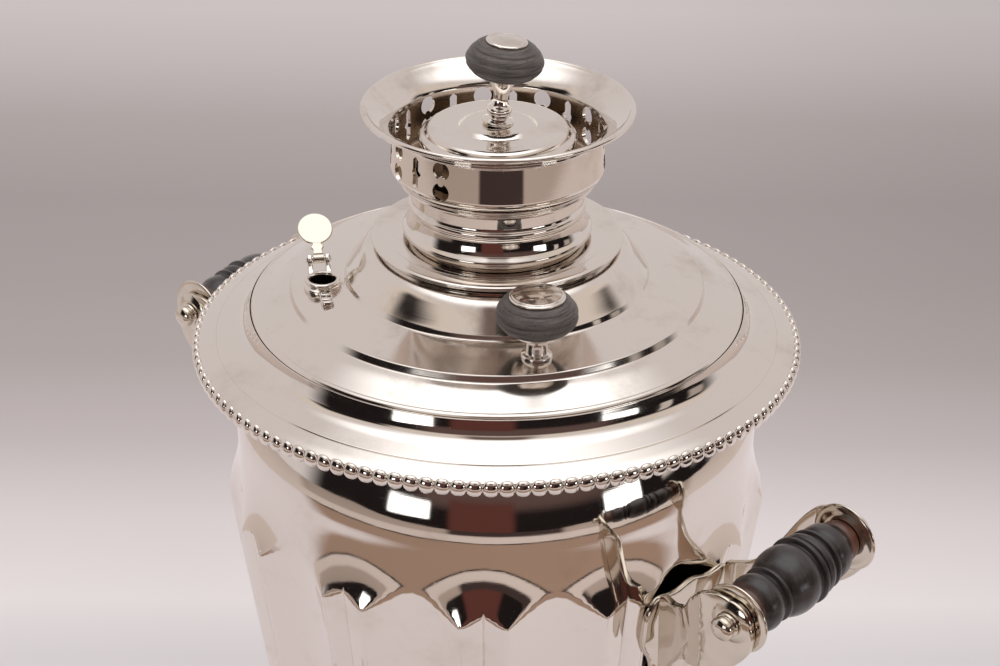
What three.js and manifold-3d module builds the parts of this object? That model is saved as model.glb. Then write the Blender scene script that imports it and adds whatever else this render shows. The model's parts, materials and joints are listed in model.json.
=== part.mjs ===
import * as THREE from 'three';
import { mergeVertices } from 'three/addons/utils/BufferGeometryUtils.js';
import Module from 'manifold-3d';

// A charcoal samovar. +Z is up, the feet stand on z = 0, the tap points to -Y, and the side handles lie at +X and -X.
// Driving dimensions, in millimetres.

// Clearances, walls and counts shared by the whole object
const fit = 0.3;
const sheet = 1.4;
const overrun = 6;
const weldGap = 0.0001;
const thinSheet = 1;
const wideSides = 32;
const ringSides = 20;
const smallSides = 16;
const slimSides = 12;
const tinySides = 8;
const hexSides = 6;
const plugSides = 24;

// Feet and plinth
const footHeight = 15;
const footRadius = 11.5;
const footSoleRadius = 8;
const footNeckRadius = 6.5;
const footReach = 64;
const plinthHalfSide = 84;
const plinthCornerCut = 15;
const plinthHeight = 12;
const plinthWall = 2;
const plinthHoleRadius = 62;
const plinthPostRadius = 8;

// Domed base, draught neck and the bowl under the body
const domeRadius = 75;
const domeHeight = 28.4;
const neckRadius = 47.5;
const neckWaistRadius = 43;
const neckHeight = 31;
const neckLedge = 4;
const draughtHoleRadius = 3.6;
const draughtHoleCount = 12;
const bowlHeight = 36.7;
const bowlRimHeight = 5;
const bowlRimRadius = 97.4;
const bowlRadius = 92.5;

// Body wall: twelve flat facets between narrow ridged strips
const facetCount = 12;
const ridgeRadius = 120;
const ridgeFootRadius = 94;
const coneHeight = 174.4;
const shoulderHeight = 62.9;
const facetWidthShare = 0.687;
const stripValleyShare = 0.979;
const facetDepthShare = Math.cos(Math.PI / facetCount * facetWidthShare);

// Rim and its beads
const rimRise = 4.7;
const rimOverhang = 21.1;
const rimEdgeRise = 2.2;
const rollRise = 16.6;
const rollRadius = 106.2;
const rimRadius = rollRadius + rimOverhang;
const ledgeDepth = 3.1;
const mouthRadius = 103;
const collarDepth = 22;
const beadCount = 128;
const beadHeight = 6.6;
const beadDepth = 3.6;

// Fire tube and grate
const tubeFootRadius = 41.2;
const tubeRadius = 31;
const tubeTopRise = 91.4;
const tubeStraight = 63;
const tubeLedge = 3.4;
const tubeLedgeHeight = 7.5;
const grateThickness = 4;
const grateSlotWidth = 5;
const grateSlotCount = 5;

// Lid
const lidEdgeHeight = 2.3;
const lidSkirtDepth = 15;
const lidStepRadius = 88.2;
const lidStepRise = 10.8;
const lidShelfRadius = 65.3;
const lidShelfRise = 14.3;
const lidStepHeight = 3.2;
const lidStepWidth = 1.1;
const lidTopRadius = 54;
const lidTopRise = 28.3;
const lidHoleGap = 0.8;
const plateRadius = 53.6;
const plateThickness = 4.2;
const plateLift = 2;
const collarRadius = 36.6;
const collarHeight = 6.1;

// Lid knobs
const knobInset = 12.2;
const knobReach = lidStepRadius - knobInset;
const knobTurn = -30.5;
const knobStemRadius = 4;
const knobStemHeight = 10.6;
const knobCupRadius = 9.6;
const knobCupHeight = 1.2;
const knobWoodRadius = 16.7;
const knobWoodHeight = 14.4;
const knobCapRadius = 11.4;
const knobCapHeight = 3.4;
const knobStudRadius = 2;
const knobNutRadius = 6;
const knobNutHeight = 4;
const knobFootRadius = 6.2;
const knobFootHeight = 1.8;

// Steam vent
const ventReach = 75;
const ventTurn = -122.5;
const ventBore = 5.5;
const ventBarrelRadius = 6.5;
const ventRingRadius = 7.3;
const ventRingHeight = 1.6;
const ventHeight = 4.2;
const ventDrop = 5;
const ventArm = 14;
const ventPinRadius = 1;
const ventPinRise = 2;
const ventEarAngle = 45;
const ventKnuckleRadius = 2.2;
const ventEarGap = 5.6;
const ventEarWidth = 2;
const ventLugWidth = 5;
const ventLugReach = 11;
const flapRadius = 7.5;
const flapThickness = 1.5;
const flapOpenAngle = 145;

// Crown
const crownFootRadius = 40;
const crownSpigotDepth = 4.4;
const crownLipHeight = 2.7;
const crownWaistRadius = 36.2;
const crownFootHeight = 25.6;
const crownBandRadius = 44.6;
const crownBandHeight = 20;
const crownBaseRise = 3.2;
const crownLipRadius = 57.4;
const crownFlareHeight = 10;
const crownLipWidth = 1.9;
const crownHolePairs = 8;
const crownHolePitch = 17.5;
const crownHoleStart = -73.9;
const crownHoleRadius = 4;
const crownHoleSpread = 8.6;
const crownSlitWidth = 3.6;
const crownSlitHeight = 14;

// Chimney cap and its knob
const capLipRadius = 33.2;
const capTopRadius = 30.4;
const capHeight = 5.8;
const capPlugDepth = 12;
const capBossRadius = 16;
const capBossHeight = 1.4;
const capStemHeight = 17.6;
const capStemFootRadius = 6.6;
const capStemBallRadius = 5.3;
const capStemNeckRadius = 3.3;
const capStemCupRadius = 7.4;
const capStudRadius = 2.2;
const capWoodRadius = 16.2;
const capWoodHeight = 17.4;
const capDiscRadius = 8.7;
const capDiscHeight = 1.6;
const capNutRadius = 5;
const capNutHeight = 4;

// Side handles
const handleReach = 178;
const handleDrop = 42.6;
const gripHalfLength = 34;
const gripRadius = 16;
const flangeRadius = 15;
const flangeThickness = 2.2;
const armThickness = 3;
const armRootHalfGap = 18;
const armHeight = 60;
const bracketPlateHalfWidth = 25.4;
const bracketPlateHeight = 62;
const bracketPlateTopDrop = 68.6;
const bracketPlateThickness = 3.2;
const armBossRadius = 8.6;
const armBossHeight = 1;
const rodRadius = 2.5;
const nutRadius = 5.6;
const nutHeight = 6.4;

// Tap
const tapRise = 27.4;
const tapLength = 53.1;
const tapTubeRadius = 8;
const tapBore = 4.6;
const tapBarrelRadius = 12;
const tapBarrelHeight = 36;
const plugTopRadius = 8.4;
const plugBottomRadius = 6.8;
const plugHeadRadius = 10.5;
const plugHeadHeight = 4;
const plugTailLength = 3;
const spoutReach = 36;
const spoutDrop = 32;
const spoutRadius = 7.4;
const spoutLipRadius = 8.6;
const spoutLipHeight = 4;
const escutcheonRadius = 21;
const escutcheonThickness = 3;
const shankLength = 12;
const shankRadius = 6.6;
const tapNutRadius = 12;
const tapNutHeight = 5;
const keyStemRadius = 3.2;
const keyStemHeight = 12;
const keyHalfWidth = 21;
const keyHeight = 30;
const keyThickness = 4;

// Heights above the table, from the feet up
const plinthFloor = footHeight + fit;
const domeFloor = plinthFloor + plinthHeight + fit;
const neckFloor = domeFloor + domeHeight + fit;
const bowlFloor = neckFloor + neckHeight + fit;
const wallFloor = bowlFloor + bowlHeight + fit;
const shoulderFloor = wallFloor + coneHeight;
const wallTop = shoulderFloor + shoulderHeight;
const tapHeight = wallFloor + tapRise;
const wallNeckRadius = mouthRadius + sheet + fit * 2 + sheet;
const rimLevel = wallTop + rimRise;
const rollTop = rimLevel + rollRise;
const lidFloor = rollTop - ledgeDepth + fit;
const tubeTop = rimLevel + tubeTopRise;
const plateFloor = lidFloor + lidEdgeHeight + lidTopRise + fit;
const crownFloor = plateFloor + collarHeight + fit;
const bandFloor = crownFloor + crownFootHeight + fit;
const capFloor = tubeTop + fit;

// Metals and woods
const nickel = { color: 0xcfc6bd, roughness: 0.16, metalness: 1 };
const darkNickel = { color: 0xa89a8c, roughness: 0.35, metalness: 1 };
const brass = { color: 0xb08d57, roughness: 0.4, metalness: 1 };
const iron = { color: 0x4c4845, roughness: 0.8, metalness: 0.6 };
const greyWood = { color: 0x5d5350, roughness: 0.6, metalness: 0 };
const blackWood = { color: 0x2b2524, roughness: 0.42, metalness: 0 };

const radians = THREE.MathUtils.degToRad;
const wasm = await Module();
wasm.setup();

// Turns a closed three.js geometry into a solid: vertices welded, flat slivers dropped, faces out.
function solid(geometry) {
  const bare = geometry.clone();
  bare.deleteAttribute('normal');
  bare.deleteAttribute('uv');
  const welded = mergeVertices(bare, weldGap);
  const points = welded.attributes.position;
  const corners = welded.index.array;
  const faces = [];
  let volume = 0;
  const [a, b, c] = [new THREE.Vector3(), new THREE.Vector3(), new THREE.Vector3()];
  for (let i = 0; i < corners.length; i += 3) {
    const face = [corners[i], corners[i + 1], corners[i + 2]];
    if (new Set(face).size < 3) continue;
    a.fromBufferAttribute(points, face[0]);
    b.fromBufferAttribute(points, face[1]);
    c.fromBufferAttribute(points, face[2]);
    volume += a.dot(b.cross(c));
    faces.push(face);
  }
  const facing = volume < 0 ? faces.map(([p, q, r]) => [p, r, q]) : faces;
  return new wasm.Manifold(new wasm.Mesh({
    numProp: 3,
    vertProperties: new Float32Array(points.array),
    triVerts: new Uint32Array(facing.flat()),
  }));
}

// Revolves a profile of [radius, height] points about Z.
function revolve(profile, sides = wideSides) {
  const outline = profile.map(([radius, height]) => new THREE.Vector2(radius, height));
  const turned = new THREE.LatheGeometry(outline, sides);
  turned.rotateX(Math.PI / 2);
  return solid(turned);
}

// Extrudes an outline of [x, y] points along +Z.
function extrude(outline, depth) {
  const shape = new THREE.Shape(outline.map(([x, y]) => new THREE.Vector2(x, y)));
  return solid(new THREE.ExtrudeGeometry(shape, { depth, bevelEnabled: false }));
}

// A round rod along Z, from one height to another.
function rod(radius, bottom, top, sides = slimSides) {
  const bar = new THREE.CylinderGeometry(radius, radius, top - bottom, sides);
  bar.rotateX(Math.PI / 2);
  bar.translate(0, 0, (top + bottom) / 2);
  return solid(bar);
}

// The same rod laid along X.
function rodAlongX(radius, start, end, sides = slimSides) {
  return rod(radius, start, end, sides).rotate([0, 90, 0]);
}

// The same rod laid along Y.
function rodAlongY(radius, start, end, sides = slimSides) {
  return rod(radius, start, end, sides).rotate([-90, 0, 0]);
}

// Spreads share pairs over the span between two profile points.
function spread([r0, z0], [r1, z1], shares) {
  return shares.map(([a, b]) => [r0 + (r1 - r0) * a, z0 + (z1 - z0) * b]);
}

// Points on an arc about a centre, angles in degrees.
function arc([r, z], radius, from, to, steps) {
  return Array.from({ length: steps + 1 }, (_, i) => {
    const angle = radians(from + (to - from) * (i / steps));
    return [r + radius * Math.cos(angle), z + radius * Math.sin(angle)];
  });
}

// Closes an open profile into a sheet of the given wall, laid on the left of its direction of travel.
function sheetProfile(path, wall, backIndices) {
  const normals = path.slice(1).map(([r, z], i) => {
    const [dr, dz] = [r - path[i][0], z - path[i][1]];
    const length = Math.hypot(dr, dz);
    return [-dz / length, dr / length];
  });
  const back = path.map(([r, z], i) => {
    const before = normals[Math.max(i - 1, 0)];
    const after = normals[Math.min(i, normals.length - 1)];
    const reach = wall / (1 + before[0] * after[0] + before[1] * after[1]);
    return [r + (before[0] + after[0]) * reach, z + (before[1] + after[1]) * reach];
  });
  const kept = back.filter((_, i) => !backIndices || backIndices.includes(i));
  return [...path, ...kept.reverse(), path[0]];
}

// Makes a named mesh from a solid.
function piece(name, shape, finish) {
  const mesh = shape.getMesh();
  const geometry = new THREE.BufferGeometry();
  geometry.setAttribute('position', new THREE.BufferAttribute(new Float32Array(mesh.vertProperties), 3));
  geometry.setIndex(new THREE.BufferAttribute(new Uint32Array(mesh.triVerts), 1));
  geometry.computeVertexNormals();
  const made = new THREE.Mesh(geometry, new THREE.MeshStandardMaterial(finish));
  made.name = name;
  return made;
}

function group(...children) {
  const holder = new THREE.Group();
  holder.add(...children);
  return holder;
}

// Body wall

// The facets' corners run down a straight taper, so one line gives their radius at any height.
function ridgeRadiusAt(height) {
  const slope = (ridgeRadius - ridgeFootRadius) / coneHeight;
  return ridgeFootRadius + slope * (height - wallFloor);
}

// Outline at unit corner radius: two corners to each flat facet, and a shallow groove down each strip between them.
function facetOutline() {
  const pitch = 360 / facetCount;
  const halfFacet = pitch * facetWidthShare / 2;
  const outline = [];
  for (let i = 0; i < facetCount; i += 1) {
    const corners = [[-halfFacet, 1], [halfFacet, 1], [pitch / 2, stripValleyShare]];
    for (const [turn, reach] of corners) {
      const angle = radians(i * pitch + turn);
      outline.push([reach * Math.cos(angle), reach * Math.sin(angle)]);
    }
  }
  return outline;
}

// The tapered faceted form between two heights, grown outwards by a clearance.
function facetedCone(bottom, top, clearance) {
  const shape = new THREE.Shape(facetOutline().map(([x, y]) => new THREE.Vector2(x, y)));
  const geometry = new THREE.ExtrudeGeometry(shape, { depth: top - bottom, bevelEnabled: false });
  const points = geometry.attributes.position;
  for (let i = 0; i < points.count; i += 1) {
    const height = bottom + points.getZ(i);
    const reach = ridgeRadiusAt(height) + clearance / facetDepthShare;
    points.setXYZ(i, points.getX(i) * reach, points.getY(i) * reach, height);
  }
  return solid(geometry);
}

// Upright at the middle of its height, then flared to meet the facets in pointed arches.
const shoulderShares = [
  [0, 0], [0.16, 0.189], [0.367, 0.3], [0.51, 0.436], [0.544, 0.603], [0.566, 0.73],
  [0.676, 0.889], [0.8, 0.984], [0.93, 1.064], [1.08, 1.143], [1.9, 1.6],
];

// The round shoulder that caps the facets, filled down to the foot of the wall.
function shoulderSolid(clearance, shares) {
  const curve = spread([wallNeckRadius, wallTop], [ridgeRadius, shoulderFloor], shares);
  const grown = curve.map(([radius, height]) => [radius + clearance, height]);
  const widest = grown[grown.length - 1][0];
  return revolve([
    [0, wallTop + overrun], [grown[0][0], wallTop + overrun], ...grown,
    [widest, wallFloor - overrun], [0, wallFloor - overrun],
  ], facetCount * 3);
}

function bodyWall() {
  const outer = facetedCone(wallFloor, wallTop, 0).intersect(shoulderSolid(0, shoulderShares));
  const inner = shoulderSolid(-sheet, shoulderShares.filter((_, i) => i !== 5 && i !== 7));
  const hollow = facetedCone(wallFloor - overrun, wallTop + overrun, -sheet).intersect(inner);
  const tapHole = rodAlongX(shankRadius + fit, 0, ridgeRadius).rotate([0, 0, -90]).translate([0, 0, tapHeight]);
  return outer.subtract(hollow).subtract(tapHole);
}

// Base, neck and bowl

function foot() {
  const bun = spread([footSoleRadius, 0], [footRadius, footHeight], [[0, 0], [1, 0.24], [0.8, 0.54], [-0.4, 0.7]]);
  return revolve([[0, 0], ...bun, [footNeckRadius, footHeight], [0, footHeight]], slimSides);
}

function cutSquare(halfSide, corner) {
  const near = halfSide - corner;
  return [
    [halfSide, -near], [halfSide, near], [near, halfSide], [-near, halfSide],
    [-halfSide, near], [-halfSide, -near], [-near, -halfSide], [near, -halfSide],
  ];
}

function plinth() {
  const block = extrude(cutSquare(plinthHalfSide, plinthCornerCut), plinthHeight);
  const inside = extrude(cutSquare(plinthHalfSide - plinthWall, plinthCornerCut - plinthWall * 0.6), plinthHeight);
  const post = rod(plinthPostRadius, 0, plinthHeight - plinthWall / 2);
  const hole = rod(plinthHoleRadius, -overrun, plinthHeight + overrun, wideSides);
  let shape = block.subtract(inside.translate([0, 0, -plinthWall]));
  for (const [x, y] of footPlaces()) shape = shape.add(post.translate([x, y, 0]));
  return shape.subtract(hole).translate([0, 0, plinthFloor]);
}

function footPlaces() {
  return [[footReach, footReach], [-footReach, footReach], [-footReach, -footReach], [footReach, -footReach]];
}

function baseDome() {
  const top = domeFloor + domeHeight;
  const curve = spread([domeRadius, domeFloor], [neckRadius, top], [
    [0, 0], [0, 0.09], [0.34, 0.19], [0.6, 0.34], [0.82, 0.55], [0.96, 0.78], [1, 1],
  ]);
  return revolve(sheetProfile([...curve, [neckWaistRadius, top]], sheet, [0, 2, 4, 6, 7]), ringSides);
}

function draughtNeck() {
  const top = neckFloor + neckHeight;
  const bore = neckWaistRadius - neckLedge;
  const seat = tubeFootRadius + fit;
  const outside = spread([neckRadius, neckFloor], [neckWaistRadius, top], [
    [0, 0], [0, 0.08], [1, 0.26], [1, 0.74], [0, 0.92], [0, 1],
  ]);
  const ring = revolve([
    ...outside, [seat, top], [seat, top - tubeLedge], [bore, top - tubeLedge], [bore, neckFloor], outside[0],
  ], ringSides);
  let shape = ring;
  for (let i = 0; i < draughtHoleCount; i += 1) {
    const hole = rodAlongX(draughtHoleRadius, bore - overrun, neckRadius + overrun, hexSides);
    const turn = 360 * (i + 0.5) / draughtHoleCount;
    shape = shape.subtract(hole.rotate([0, 0, turn]).translate([0, 0, neckFloor + neckHeight / 2]));
  }
  return shape;
}

function bodyBowl() {
  const top = bowlFloor + bowlHeight;
  const shoulder = top - bowlRimHeight;
  const rimMiddle = top - bowlRimHeight / 2;
  const depth = shoulder - bowlFloor;
  const curve = arc([0, 0], 1, 0, -90, 4).map(([across, down]) => [
    neckRadius + (bowlRadius - neckRadius) * across, shoulder + depth * down,
  ]);
  const path = [
    [ridgeFootRadius * facetDepthShare, top], [bowlRimRadius - sheet / 2, top],
    [bowlRimRadius, rimMiddle], ...curve, [tubeFootRadius + fit, bowlFloor],
  ];
  return revolve(sheetProfile(path.reverse(), sheet, [0, 1, 2, 3, 5, 8]), ringSides);
}

// Rim

function rimRing() {
  const edgeTop = rimLevel + rimEdgeRise;
  const edgeFloor = wallTop + fit;
  const roof = spread([rimRadius, edgeTop], [rollRadius, rollTop], [
    [0, 0], [0.44, 0.12], [0.76, 0.36], [0.9, 0.72], [1, 1],
  ]);
  const path = [
    [wallNeckRadius, edgeFloor], [rimRadius, edgeFloor], ...roof,
    [rollRadius - fit, rollTop - ledgeDepth],
    [mouthRadius, rollTop - ledgeDepth], [mouthRadius, rollTop - collarDepth],
  ];
  return revolve(sheetProfile(path, sheet, [0, 1, 2, 4, 6, 8, 9]));
}

// A band of beads: a crest and a groove to each bead round the outside, on a plain inner face like the rim's.
function beadRing() {
  const beadsPerSide = beadCount / wideSides;
  const inner = rimRadius + fit;
  const positions = [];
  const faces = [];
  const add = (radius, turn, rise) => {
    const angle = 2 * Math.PI * turn;
    positions.push(radius * Math.cos(angle), radius * Math.sin(angle), rimLevel + rise);
  };
  for (let i = 0; i < beadCount; i += 1) {
    add(inner + beadDepth / 2, (i - 0.5) / beadCount, 0);
    add(inner + beadDepth, i / beadCount, 0);
  }
  for (let i = 0; i < wideSides; i += 1) {
    add(inner, i / wideSides, -beadHeight / 2);
    add(inner, i / wideSides, beadHeight / 2);
  }
  const outer = beadCount * 2;
  const step = beadsPerSide * 2;
  for (let side = 0; side < wideSides; side += 1) {
    const [low, high] = [outer + side * 2, outer + side * 2 + 1];
    const next = outer + ((side + 1) % wideSides) * 2;
    for (let k = 0; k < step; k += 1) {
      const here = (side * step + k + 1) % outer;
      const there = (here + 1) % outer;
      const near = k < step / 2;
      faces.push(near ? low : next, there, here, near ? high : next + 1, here, there);
    }
    const middle = (side * step + step / 2 + 1) % outer;
    faces.push(low, next, middle, high, middle, next + 1);
    faces.push(low, high, next + 1, low, next + 1, next);
  }
  const geometry = new THREE.BufferGeometry();
  geometry.setAttribute('position', new THREE.Float32BufferAttribute(positions, 3));
  geometry.setIndex(faces);
  return solid(geometry);
}

// Fire tube and grate

function fireTube() {
  const foot = neckFloor + neckHeight - tubeLedge + fit;
  const ledge = foot + tubeLedgeHeight;
  const bend = tubeTop - tubeStraight;
  return revolve([
    [tubeFootRadius, foot], [tubeFootRadius, ledge + tubeLedgeHeight], [tubeRadius, bend], [tubeRadius, tubeTop],
    [tubeRadius - sheet, tubeTop], [tubeRadius - sheet, bend], [tubeFootRadius - sheet, ledge + tubeLedgeHeight],
    [tubeFootRadius - sheet, ledge], [tubeFootRadius - sheet - tubeLedge, ledge],
    [tubeFootRadius - sheet - tubeLedge, foot], [tubeFootRadius, foot],
  ], ringSides);
}

function grate() {
  const floor = neckFloor + neckHeight - tubeLedge + fit + tubeLedgeHeight + fit;
  const radius = tubeFootRadius - sheet - fit;
  let plate = rod(radius, floor, floor + grateThickness, ringSides);
  for (let i = 0; i < grateSlotCount; i += 1) {
    const offset = (i - (grateSlotCount - 1) / 2) * grateSlotWidth * 2;
    const chord = Math.sqrt(radius * radius - offset * offset) - grateSlotWidth;
    const slot = new THREE.BoxGeometry(chord * 2, grateSlotWidth, grateThickness + overrun);
    plate = plate.subtract(solid(slot).translate([0, offset, floor + grateThickness / 2]));
  }
  return plate;
}

// Lid

// Upper side of the lid from its edge to the chimney hole, with a small step at the shoulder and at the shelf.
function lidCurve() {
  const edge = mouthRadius + ledgeDepth - fit;
  const top = lidFloor + lidEdgeHeight;
  const shoulder = [lidStepRadius + lidStepWidth, top + lidStepRise - lidStepHeight];
  const shelf = [lidShelfRadius - lidStepWidth, top + lidShelfRise + lidStepHeight * 0.7];
  const crest = [lidTopRadius, top + lidTopRise];
  return [
    [edge, lidFloor], [edge, top], ...spread([edge, top], shoulder, [[0.3, 0.52], [1, 1]]),
    [lidStepRadius, top + lidStepRise], [lidShelfRadius, top + lidShelfRise], shelf,
    ...spread(shelf, crest, [[0.4, 0.5], [1, 1]]),
    [tubeRadius + lidHoleGap, crest[1]],
  ];
}

// Everything under the lid's upper side, used to trim what stands on it or hangs under it.
function lidFill(lift) {
  const curve = lidCurve().map(([radius, height]) => [radius, height + lift]);
  const end = curve[curve.length - 1][1];
  return revolve([[0, lidFloor - lidSkirtDepth - overrun], [curve[0][0], lidFloor - lidSkirtDepth - overrun],
    ...curve, [0, end]]);
}

function lidShell() {
  const curve = lidCurve();
  const skirt = mouthRadius - fit;
  const under = [1, 3, 4, 5, 8].map((i) => curve[i]);
  const below = [...under.map(([radius, height]) => [radius - thinSheet, height - sheet]),
    [tubeRadius + lidHoleGap, curve[8][1] - sheet]];
  const inner = skirt - sheet;
  const back = [...below.slice(1).reverse(), [inner, lidFloor], [inner, lidFloor - lidSkirtDepth]];
  const profile = [
    [skirt, lidFloor - lidSkirtDepth], [skirt, lidFloor], ...curve, ...back, [skirt, lidFloor - lidSkirtDepth],
  ];
  const stemHole = rod(knobStudRadius + fit, lidFloor, crownFloor, tinySides).translate([knobReach, 0, 0]);
  const ventHole = rod(ventBarrelRadius + fit, lidFloor, crownFloor).translate([ventReach, 0, 0]);
  return revolve(profile)
    .subtract(stemHole.rotate([0, 0, knobTurn]))
    .subtract(stemHole.rotate([0, 0, knobTurn + 180]))
    .subtract(ventHole.rotate([0, 0, ventTurn]));
}

function lidPlate() {
  const top = plateFloor + plateThickness;
  const rise = plateFloor + collarHeight;
  const bore = collarRadius - thinSheet;
  const seat = lidTopRadius - plateThickness;
  return revolve([
    [seat, plateFloor + plateLift], [plateRadius, plateFloor + plateLift], [plateRadius, top - sheet / 2],
    [plateRadius - sheet, top], [collarRadius, top], [collarRadius, rise], [bore, rise],
    [bore, plateFloor + sheet], [tubeRadius + lidHoleGap, plateFloor + sheet], [tubeRadius + lidHoleGap, plateFloor],
    [seat, plateFloor], [seat, plateFloor + plateLift],
  ], ringSides);
}

// Lid knob pieces stand at +X and are turned into place by their group.

// Height of the lid's upper side at a distance from the axis, read along its profile.
function lidHeightAt(reach) {
  const curve = lidCurve();
  const inside = curve.findIndex(([radius]) => radius < reach);
  const [[outer, low], [inner, high]] = [curve[inside - 1], curve[inside]];
  return low + (high - low) * (outer - reach) / (outer - inner);
}

function knobStem() {
  const ground = lidHeightAt(knobReach);
  const top = ground + knobStemHeight;
  const cupTop = top + knobCupHeight;
  const post = revolve([
    [0, ground - overrun], [knobFootRadius, ground - overrun], [knobFootRadius, ground + knobFootHeight],
    [knobStemRadius, ground + knobFootHeight * 1.6], [knobStemRadius, top - knobFootHeight],
    [knobCupRadius, top], [knobCupRadius, cupTop], [knobStudRadius, cupTop],
    [knobStudRadius, cupTop + knobWoodHeight - fit], [0, cupTop + knobWoodHeight - fit],
  ], slimSides).translate([knobReach, 0, 0]);
  const stud = rod(knobStudRadius, ground - sheet - knobNutHeight * 2, ground + knobStemHeight / 2, tinySides);
  return post.subtract(lidFill(fit)).add(stud.translate([knobReach, 0, 0]));
}

function knobWood() {
  const floor = lidHeightAt(knobReach) + knobStemHeight + knobCupHeight + fit;
  const bore = knobStudRadius + fit;
  const outside = spread([knobCupRadius, floor], [knobWoodRadius, floor + knobWoodHeight - fit], [
    [0, 0], [0.6, 0.24], [1, 0.54], [0.92, 0.68], [0.96, 0.8], [0.3, 1],
  ]);
  const roof = floor + knobWoodHeight - fit;
  const profile = [[bore, floor], ...outside, [bore, roof], [bore, floor]];
  return revolve(profile, slimSides).translate([knobReach, 0, 0]);
}

function knobCap() {
  const floor = lidHeightAt(knobReach) + knobStemHeight + knobCupHeight + knobWoodHeight + fit;
  const dome = spread([knobCapRadius, floor], [0, floor + knobCapHeight], [
    [0, 0], [0.04, 0.36], [0.45, 0.84], [1, 1],
  ]);
  return revolve([[0, floor], ...dome], slimSides).translate([knobReach, 0, 0]);
}

// Nut under the lid, flat on top, so it hangs clear of the slope at its outer side.
function knobNut() {
  const roof = lidHeightAt(knobReach + knobNutRadius + thinSheet) - sheet - fit;
  const block = rod(knobNutRadius, roof - knobNutHeight, roof, hexSides);
  const bore = rod(knobStudRadius + fit, roof - knobNutHeight - overrun, roof + overrun, tinySides);
  return block.subtract(bore).translate([knobReach, 0, 0]);
}

// Steam vent, built with its hinge towards +Y and turned into place by its group.

function ventSocket() {
  const ground = lidHeightAt(ventReach);
  const top = ground + ventHeight;
  const ringFloor = top - ventRingHeight;
  const barrel = revolve([
    [ventBore, ground - ventDrop], [ventBarrelRadius, ground - ventDrop], [ventBarrelRadius, ringFloor],
    [ventRingRadius, ringFloor], [ventRingRadius, top], [ventBore, top], [ventBore, ground - ventDrop],
  ], slimSides);
  const washer = rod(ventRingRadius + sheet / 2, ground - ventDrop, ground + ventRingHeight, slimSides)
    .subtract(lidFill(fit).translate([ventReach, 0, 0]))
    .subtract(rod(ventBore, ground - ventDrop * 2, ground + ventDrop, slimSides));
  const pinLevel = top + ventPinRise;
  const outline = [
    [ventRingRadius - sheet, ringFloor], [ventArm, ringFloor],
    ...arc([ventArm, pinLevel], ventKnuckleRadius, -ventEarAngle, ventEarAngle * 3, 3),
    [ventRingRadius - sheet / 2, top],
  ];
  const ear = extrude(outline, ventEarWidth).rotate([90, 0, 90]);
  const offset = ventEarGap / 2;
  const bore = rodAlongX(ventPinRadius + fit / 2, -ventArm, ventArm, tinySides).translate([0, ventArm, pinLevel]);
  const lugHeight = ventDrop + ventHeight - ventRingHeight / 2;
  const lug = new THREE.BoxGeometry(ventLugWidth, ventLugReach, lugHeight).translate(0, -ventLugReach / 2, 0);
  const recess = new THREE.BoxGeometry(ventLugWidth * 0.6, sheet, ventHeight * 0.5).translate(0, -ventLugReach, 0);
  const latch = solid(lug).translate([0, 0, ground - ventDrop + lugHeight / 2])
    .subtract(solid(recess).translate([0, 0, ground + ventHeight * 0.4]))
    .subtract(lidFill(fit).translate([ventReach, 0, 0]))
    .subtract(rod(ventBore, ground - ventDrop * 2, top + ventDrop, slimSides));
  return barrel.add(washer).add(latch).add(ear.translate([offset, 0, 0]))
    .add(ear.translate([-offset - ventEarWidth, 0, 0])).subtract(bore);
}

function ventPin() {
  const half = ventEarGap / 2 + ventEarWidth + fit;
  return rodAlongX(ventPinRadius, -half, half, tinySides);
}

// The flap about its pin, drawn shut: its disc lies towards -Y on the socket's ring.
function ventFlap() {
  const floor = fit - ventPinRise;
  const half = ventEarGap / 2 - fit;
  const disc = revolve([
    [0, floor], [flapRadius, floor], [flapRadius, floor + flapThickness * 0.6],
    [flapRadius * 0.72, floor + flapThickness], [flapRadius * 0.5, floor + flapThickness * 0.8],
    [flapRadius * 0.3, floor + flapThickness * 1.5], [0, floor + flapThickness * 1.7],
  ], slimSides).translate([0, -ventArm, 0]);
  const armLength = ventArm - flapRadius * 0.7;
  const bar = new THREE.BoxGeometry(half * 2, armLength, flapThickness);
  const arm = solid(bar).translate([0, -armLength / 2, floor + flapThickness / 2]);
  const knuckle = rodAlongX(ventKnuckleRadius - fit, -half, half, tinySides);
  const bore = rodAlongX(ventPinRadius + fit, -ventArm, ventArm, tinySides);
  return disc.add(arm).add(knuckle).subtract(bore);
}

// Crown

function crownFoot() {
  const spigot = collarRadius - thinSheet - fit;
  const bore = spigot - thinSheet;
  const top = crownFloor + crownFootHeight;
  const flange = crownFloor + crownLipHeight;
  const bead = crownBandRadius - sheet * 1.8;
  return revolve([
    [spigot, crownFloor - crownSpigotDepth], [spigot, crownFloor], [crownFootRadius, crownFloor],
    [crownFootRadius, flange], ...spread([crownFootRadius, flange], [crownWaistRadius, top], [[0.6, 0.12], [0.8, 0.34]]),
    [crownWaistRadius + sheet / 2, crownFloor + crownFootHeight * 0.5], [crownWaistRadius, top - sheet * 2.8],
    [bead, top - sheet * 2.4], [bead, top - sheet / 3],
    [crownWaistRadius + sheet, top], [bore, top], [bore, crownFloor - crownSpigotDepth],
    [spigot, crownFloor - crownSpigotDepth],
  ], ringSides);
}

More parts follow.
